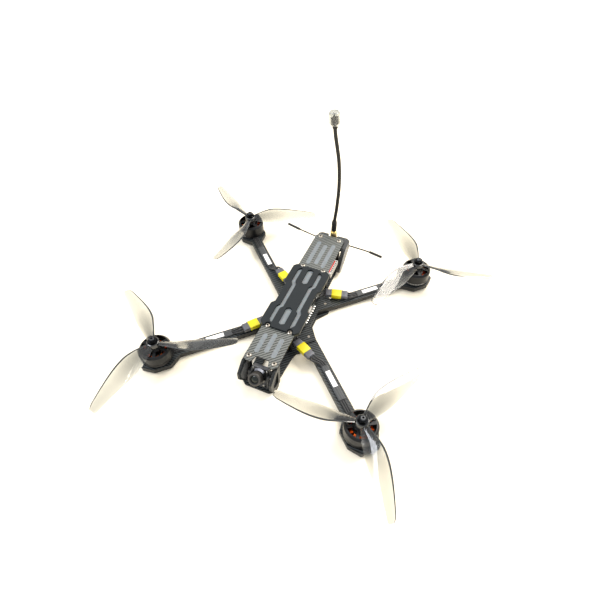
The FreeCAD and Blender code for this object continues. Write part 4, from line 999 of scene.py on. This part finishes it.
speed = paint(cad_copy("esc_board"), by_size(0, BOARD_LEAST_WIDTH))
dome = turned_part([(0, 1.9), (0.6, 1.75), (1.1, 1.2), (1.4, 0.5), (1.5, 0.0), (0, 0.0)], 14, finish=2)
grain = bmesh.new()
brick(grain, (-0.8, -0.4, 0), (-0.45, 0.4, 0.5), 0.05, finish=2, segments=1)
brick(grain, (-0.46, -0.38, 0), (0.46, 0.38, 0.48), 0.05, finish=3, segments=1)
brick(grain, (0.45, -0.4, 0), (0.8, 0.4, 0.5), 0.05, finish=2, segments=1)
lug = bmesh.new()
brick(lug, (-1.3, -1.3, -0.02), (1.3, 1.3, 0.9), 0.25, finish=2)
for side in (-1, 1):
    for i in range(PADS):
        stamp(speed, lug, placed(side * LUG_REACH, PAD_START + i * PAD_PITCH, speed_top, math.pi / 4))
        stamp(speed, dome, placed(side * DOME_REACH, PAD_START + i * PAD_PITCH, speed_top + 0.4))
    for i in range(PARTS):
        for reach, turn in zip(PART_REACHES, (math.pi / 2, 0.0)):
            stamp(speed, grain, placed(side * reach, PART_START + i * PART_PITCH, speed_top, turn))
piece("speed_controller", speed, "frame", [board_mask, epoxy_and_slot_shade, solder, ceramic], ["esc_board"])


# %% Flight controller
flight_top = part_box("flight_controller")[0].z / MM + BOARD_THICKNESS
SOCKET_SIDE = 12
PINS, PIN_START, PIN_PITCH, PIN_REACH = 9, -8.0, 2.0, 16.7
GRAINS, GRAIN_START, GRAIN_PITCH, GRAIN_REACH = 5, -7.0, 2.6, 9.0


def flight_part(low, high, middle, normal):
    """The board, its white sockets along one side, or a chip."""
    if high.x - low.x > BOARD_LEAST_WIDTH:
        return 0
    return 4 if low.x > SOCKET_SIDE else 1


flight = paint(cad_copy("flight_controller"), flight_part)
pin = turned_part([(0, 0.35), (0.45, 0.25), (0.75, 0.05), (0.75, 0.0), (0, 0.0)], 10, finish=2)
for side in (-1, 1):
    for i in range(PINS):
        stamp(flight, pin, placed(PIN_START + i * PIN_PITCH, side * PIN_REACH, flight_top))
    for i in range(GRAINS):
        along = GRAIN_START + i * GRAIN_PITCH
        stamp(flight, grain, placed(side * GRAIN_REACH, along, flight_top, math.pi / 2))
for template in (dome, lug, grain, pin):
    template.free()
piece("flight_computer", flight, "frame", [board_mask, epoxy_and_slot_shade, solder, ceramic, white_nylon],
      ["flight_controller"])

# %% [markdown]
# ## Capacitor, video link and antenna parts
# The capacitor wears a glossy shrink sleeve and shows bare aluminium at its vented end.  The
# transmitter's silver cover gets painted shade in its cooling slots and has one red stripe.  The
# antenna's stem carries a small element of dull dark metal inside its smoky cap.

# %% Capacitor
LEAD_WIDEST = 3
VENT_RADIUS = 4.3
cap_low, cap_high = (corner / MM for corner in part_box("capacitor"))
can_centre = Vector(((cap_low.x + cap_high.x) / 2, 0, (cap_low.z + cap_high.z) / 2))


def capacitor_part(low, high, middle, normal):
    """The bare leads and the vented end, or the sleeve."""
    if high.x - low.x < LEAD_WIDEST:
        return 1
    vent = abs(normal.y) > 0.9 and (middle - can_centre).xz.length < VENT_RADIUS
    return 1 if vent else 0


piece("capacitor_sleeved", paint(cad_copy("capacitor"), capacitor_part), "frame", [pvc, silver],
      ["capacitor"])

# %% Video transmitter's cover
COVER_LIP = 0.05
FIN_SIDE = 19.3
# The stripe and the slots: where each lies across the cover, and how far in from its ends it starts.
STRIPE, STRIPE_INSETS = (17.2, 19.6), (2.2, 1.6)
SLOT, SLOT_INSET = (20.0, 21.7), 3.4
SLOTS, SLOT_PITCH, SLOT_WIDTH = 7, 3.2, 1.7
cover = cad_copy("vtx_heatsink")
cover_low, cover_high = extent(list(cover.faces))


def cover_part(low, high, middle, normal):
    """The hollows in the cover's outer side, painted dark as painted shade, or its silver skin."""
    inside = (FIN_SIDE < middle.x < high.x - COVER_LIP
              and low.z + COVER_LIP < middle.z < high.z - COVER_LIP)
    return 1 if inside else 0


paint(cover, cover_part)
sunk = cover_high.z - COVER_LIP
brick(cover, (STRIPE[0], cover_low.y + STRIPE_INSETS[0], sunk),
      (STRIPE[1], cover_high.y - STRIPE_INSETS[1], cover_high.z + 0.2), 0.08, finish=2)
# Dark strips laid on the cover's top stand for slots: painted shade.
for i in range(SLOTS):
    reach = cover_low.y + SLOT_INSET + i * SLOT_PITCH
    brick(cover, (SLOT[0], reach, sunk), (SLOT[1], reach + SLOT_WIDTH, cover_high.z + 0.06), 0.04,
          finish=1, segments=1)
piece("video_transmitter_cover", cover, "frame", [silver, epoxy_and_slot_shade, red_paint],
      ["vtx_heatsink"])

# %% Antenna socket and stem
# The cable behind the socket is longer than this, and so is the stem under its element.
CABLE_LEAST, STEM_LEAST = 12, 40
piece("antenna_socket", paint(cad_copy("sma_jack"), by_size(1, CABLE_LEAST)), "frame", [stem_jacket, gold],
      ["sma_jack"])
piece("antenna_stem_and_element", paint(cad_copy("antenna_stem"), by_size(2, STEM_LEAST)), "video_antenna",
      [stem_jacket, laminated], ["antenna_stem"])

# %% [markdown]
# ## Button-head screws
# The screws on the top plate are plated in a warm silver, and their hexagon sockets stay dark because
# little light gets in.  Painting the socket's faces black keeps it dark from every side.

# %% Top screws
SOCKET_RADIUS, SOCKET_DEPTH = 1.14, 1.2
screws = cad_copy("top_screws")
screw_top = extent(list(screws.faces))[1].z


def socket_or_head(low, high, middle, normal):
    """The walls and floor of the hexagon socket, or the head."""
    centre = (low + high) / 2
    in_socket = (middle - centre).xy.length < SOCKET_RADIUS
    return 1 if in_socket and screw_top - SOCKET_DEPTH < middle.z < screw_top - 0.02 else 0


piece("top_screws_socketed", paint(screws, socket_or_head), "frame", [champagne, black_steel],
      ["top_screws"])

# %% [markdown]
# ## The camera
# The camera looks up by 35 degrees at rest.  Its lens is turned from the optical axis: a grey focus
# ring with grip notches, a black stepped throat that stops stray light, a small coated element deep
# inside and a domed front glass.  The parts are built upright and then tipped like the real camera.

# %% Camera case
CASE_LEAST_WIDTH = 12
FACE_SCREW_REACH, FACE_SCREW_AHEAD = 7.7, 4.4
TILT = math.radians(35.0)
tilt_joint = next(joint for joint in frame["joints"] if joint["child"] == "camera")
pivot = Vector(tilt_joint["pos_m"]) / MM
looking = Matrix.Translation(pivot) @ Matrix.Rotation(-TILT, 4, "X")
forward = looking @ Matrix.Rotation(math.pi / 2, 4, "X")
case_up = (looking.to_3x3() @ Vector((0, 0, 1))).normalized()


def case_part(low, high, middle, normal):
    """The small plug behind, the faces that look up in a painted reflection of silver, or the black sides."""
    if high.x - low.x < CASE_LEAST_WIDTH:
        return 2
    return 1 if normal.dot(case_up) > 0.6 else 0


case = paint(cad_copy("camera_body"), case_part)
face_screw = turned_part([(0, 0.5), (0.55, 0.48), (0.95, 0.25), (1.0, 0.0), (0, 0.0)], 14, finish=3)
for x in (-FACE_SCREW_REACH, FACE_SCREW_REACH):
    for z in (-FACE_SCREW_REACH, FACE_SCREW_REACH):
        stamp(case, face_screw, forward @ Matrix.Translation((x, z, FACE_SCREW_AHEAD)))
face_screw.free()
piece("camera_case", case, "camera", [case_black, case_top_painted_reflection, beige_nylon, ground_steel],
      ["camera_body"])

# %% Camera lens
KNURL_STEPS, NOTCH_EVERY = 96, 4
# A notch keeps this share of the ring's radius.
NOTCH_SHARE = 0.95
GRIP_RADIUS, GRIP_BACK, GRIP_FRONT = 7.0, 9.4, 14.2
THROAT_RADIUS, THROAT_BACK = 5.1, 10
# The lens from back to front: the barrel, the ring with its rounded rim, and the stepped throat.
barrel = turned_part([(0, 3.5), (6.0, 3.5), (6.0, 8.2), (6.9, 8.4), (7.1, 8.7), (7.1, 9.4), (7.1, 14.2),
                      (7.1, 15.0), (6.8, 15.5), (6.3, 15.8), (5.2, 15.8), (4.9, 15.6), (4.2, 14.6),
                      (4.2, 13.4), (3.4, 13.4), (3.4, 12.6), (2.6, 12.6), (2.6, 11.6), (0, 11.6)],
                     KNURL_STEPS)
notched = []
for face in barrel.faces:
    middle = face.calc_center_median()
    face.material_index = 1 if middle.xy.length < THROAT_RADIUS and middle.z > THROAT_BACK else 0
    column = math.floor(math.atan2(middle.y, middle.x) / (2 * math.pi / KNURL_STEPS))
    if middle.xy.length > GRIP_RADIUS and GRIP_BACK < middle.z < GRIP_FRONT and column % NOTCH_EVERY == 0:
        notched.append(face)
for face in bmesh.ops.extrude_discrete_faces(barrel, faces=notched)["faces"]:
    bmesh.ops.scale(barrel, vec=(NOTCH_SHARE, NOTCH_SHARE, 1.0), verts=face.verts)
element = turned_part([(0, 12.5), (1.0, 12.4), (1.9, 12.1), (2.5, 11.65), (0, 11.65)], 40, finish=2)
front_glass = turned_part([(0, 15.5), (1.2, 15.42), (2.4, 15.15), (3.4, 14.75), (4.15, 14.3), (4.15, 14.0),
                           (3.2, 14.25), (2.0, 14.45), (0, 14.55)], 48, finish=3)
lens_shape = bmesh.new()
for part in (barrel, element, front_glass):
    stamp(lens_shape, part, forward)
    part.free()
piece("camera_lens_turned", lens_shape, "camera", [lens_ring, bore_shade_and_throat_black, element_coat, front_coat],
      ["camera_lens"])
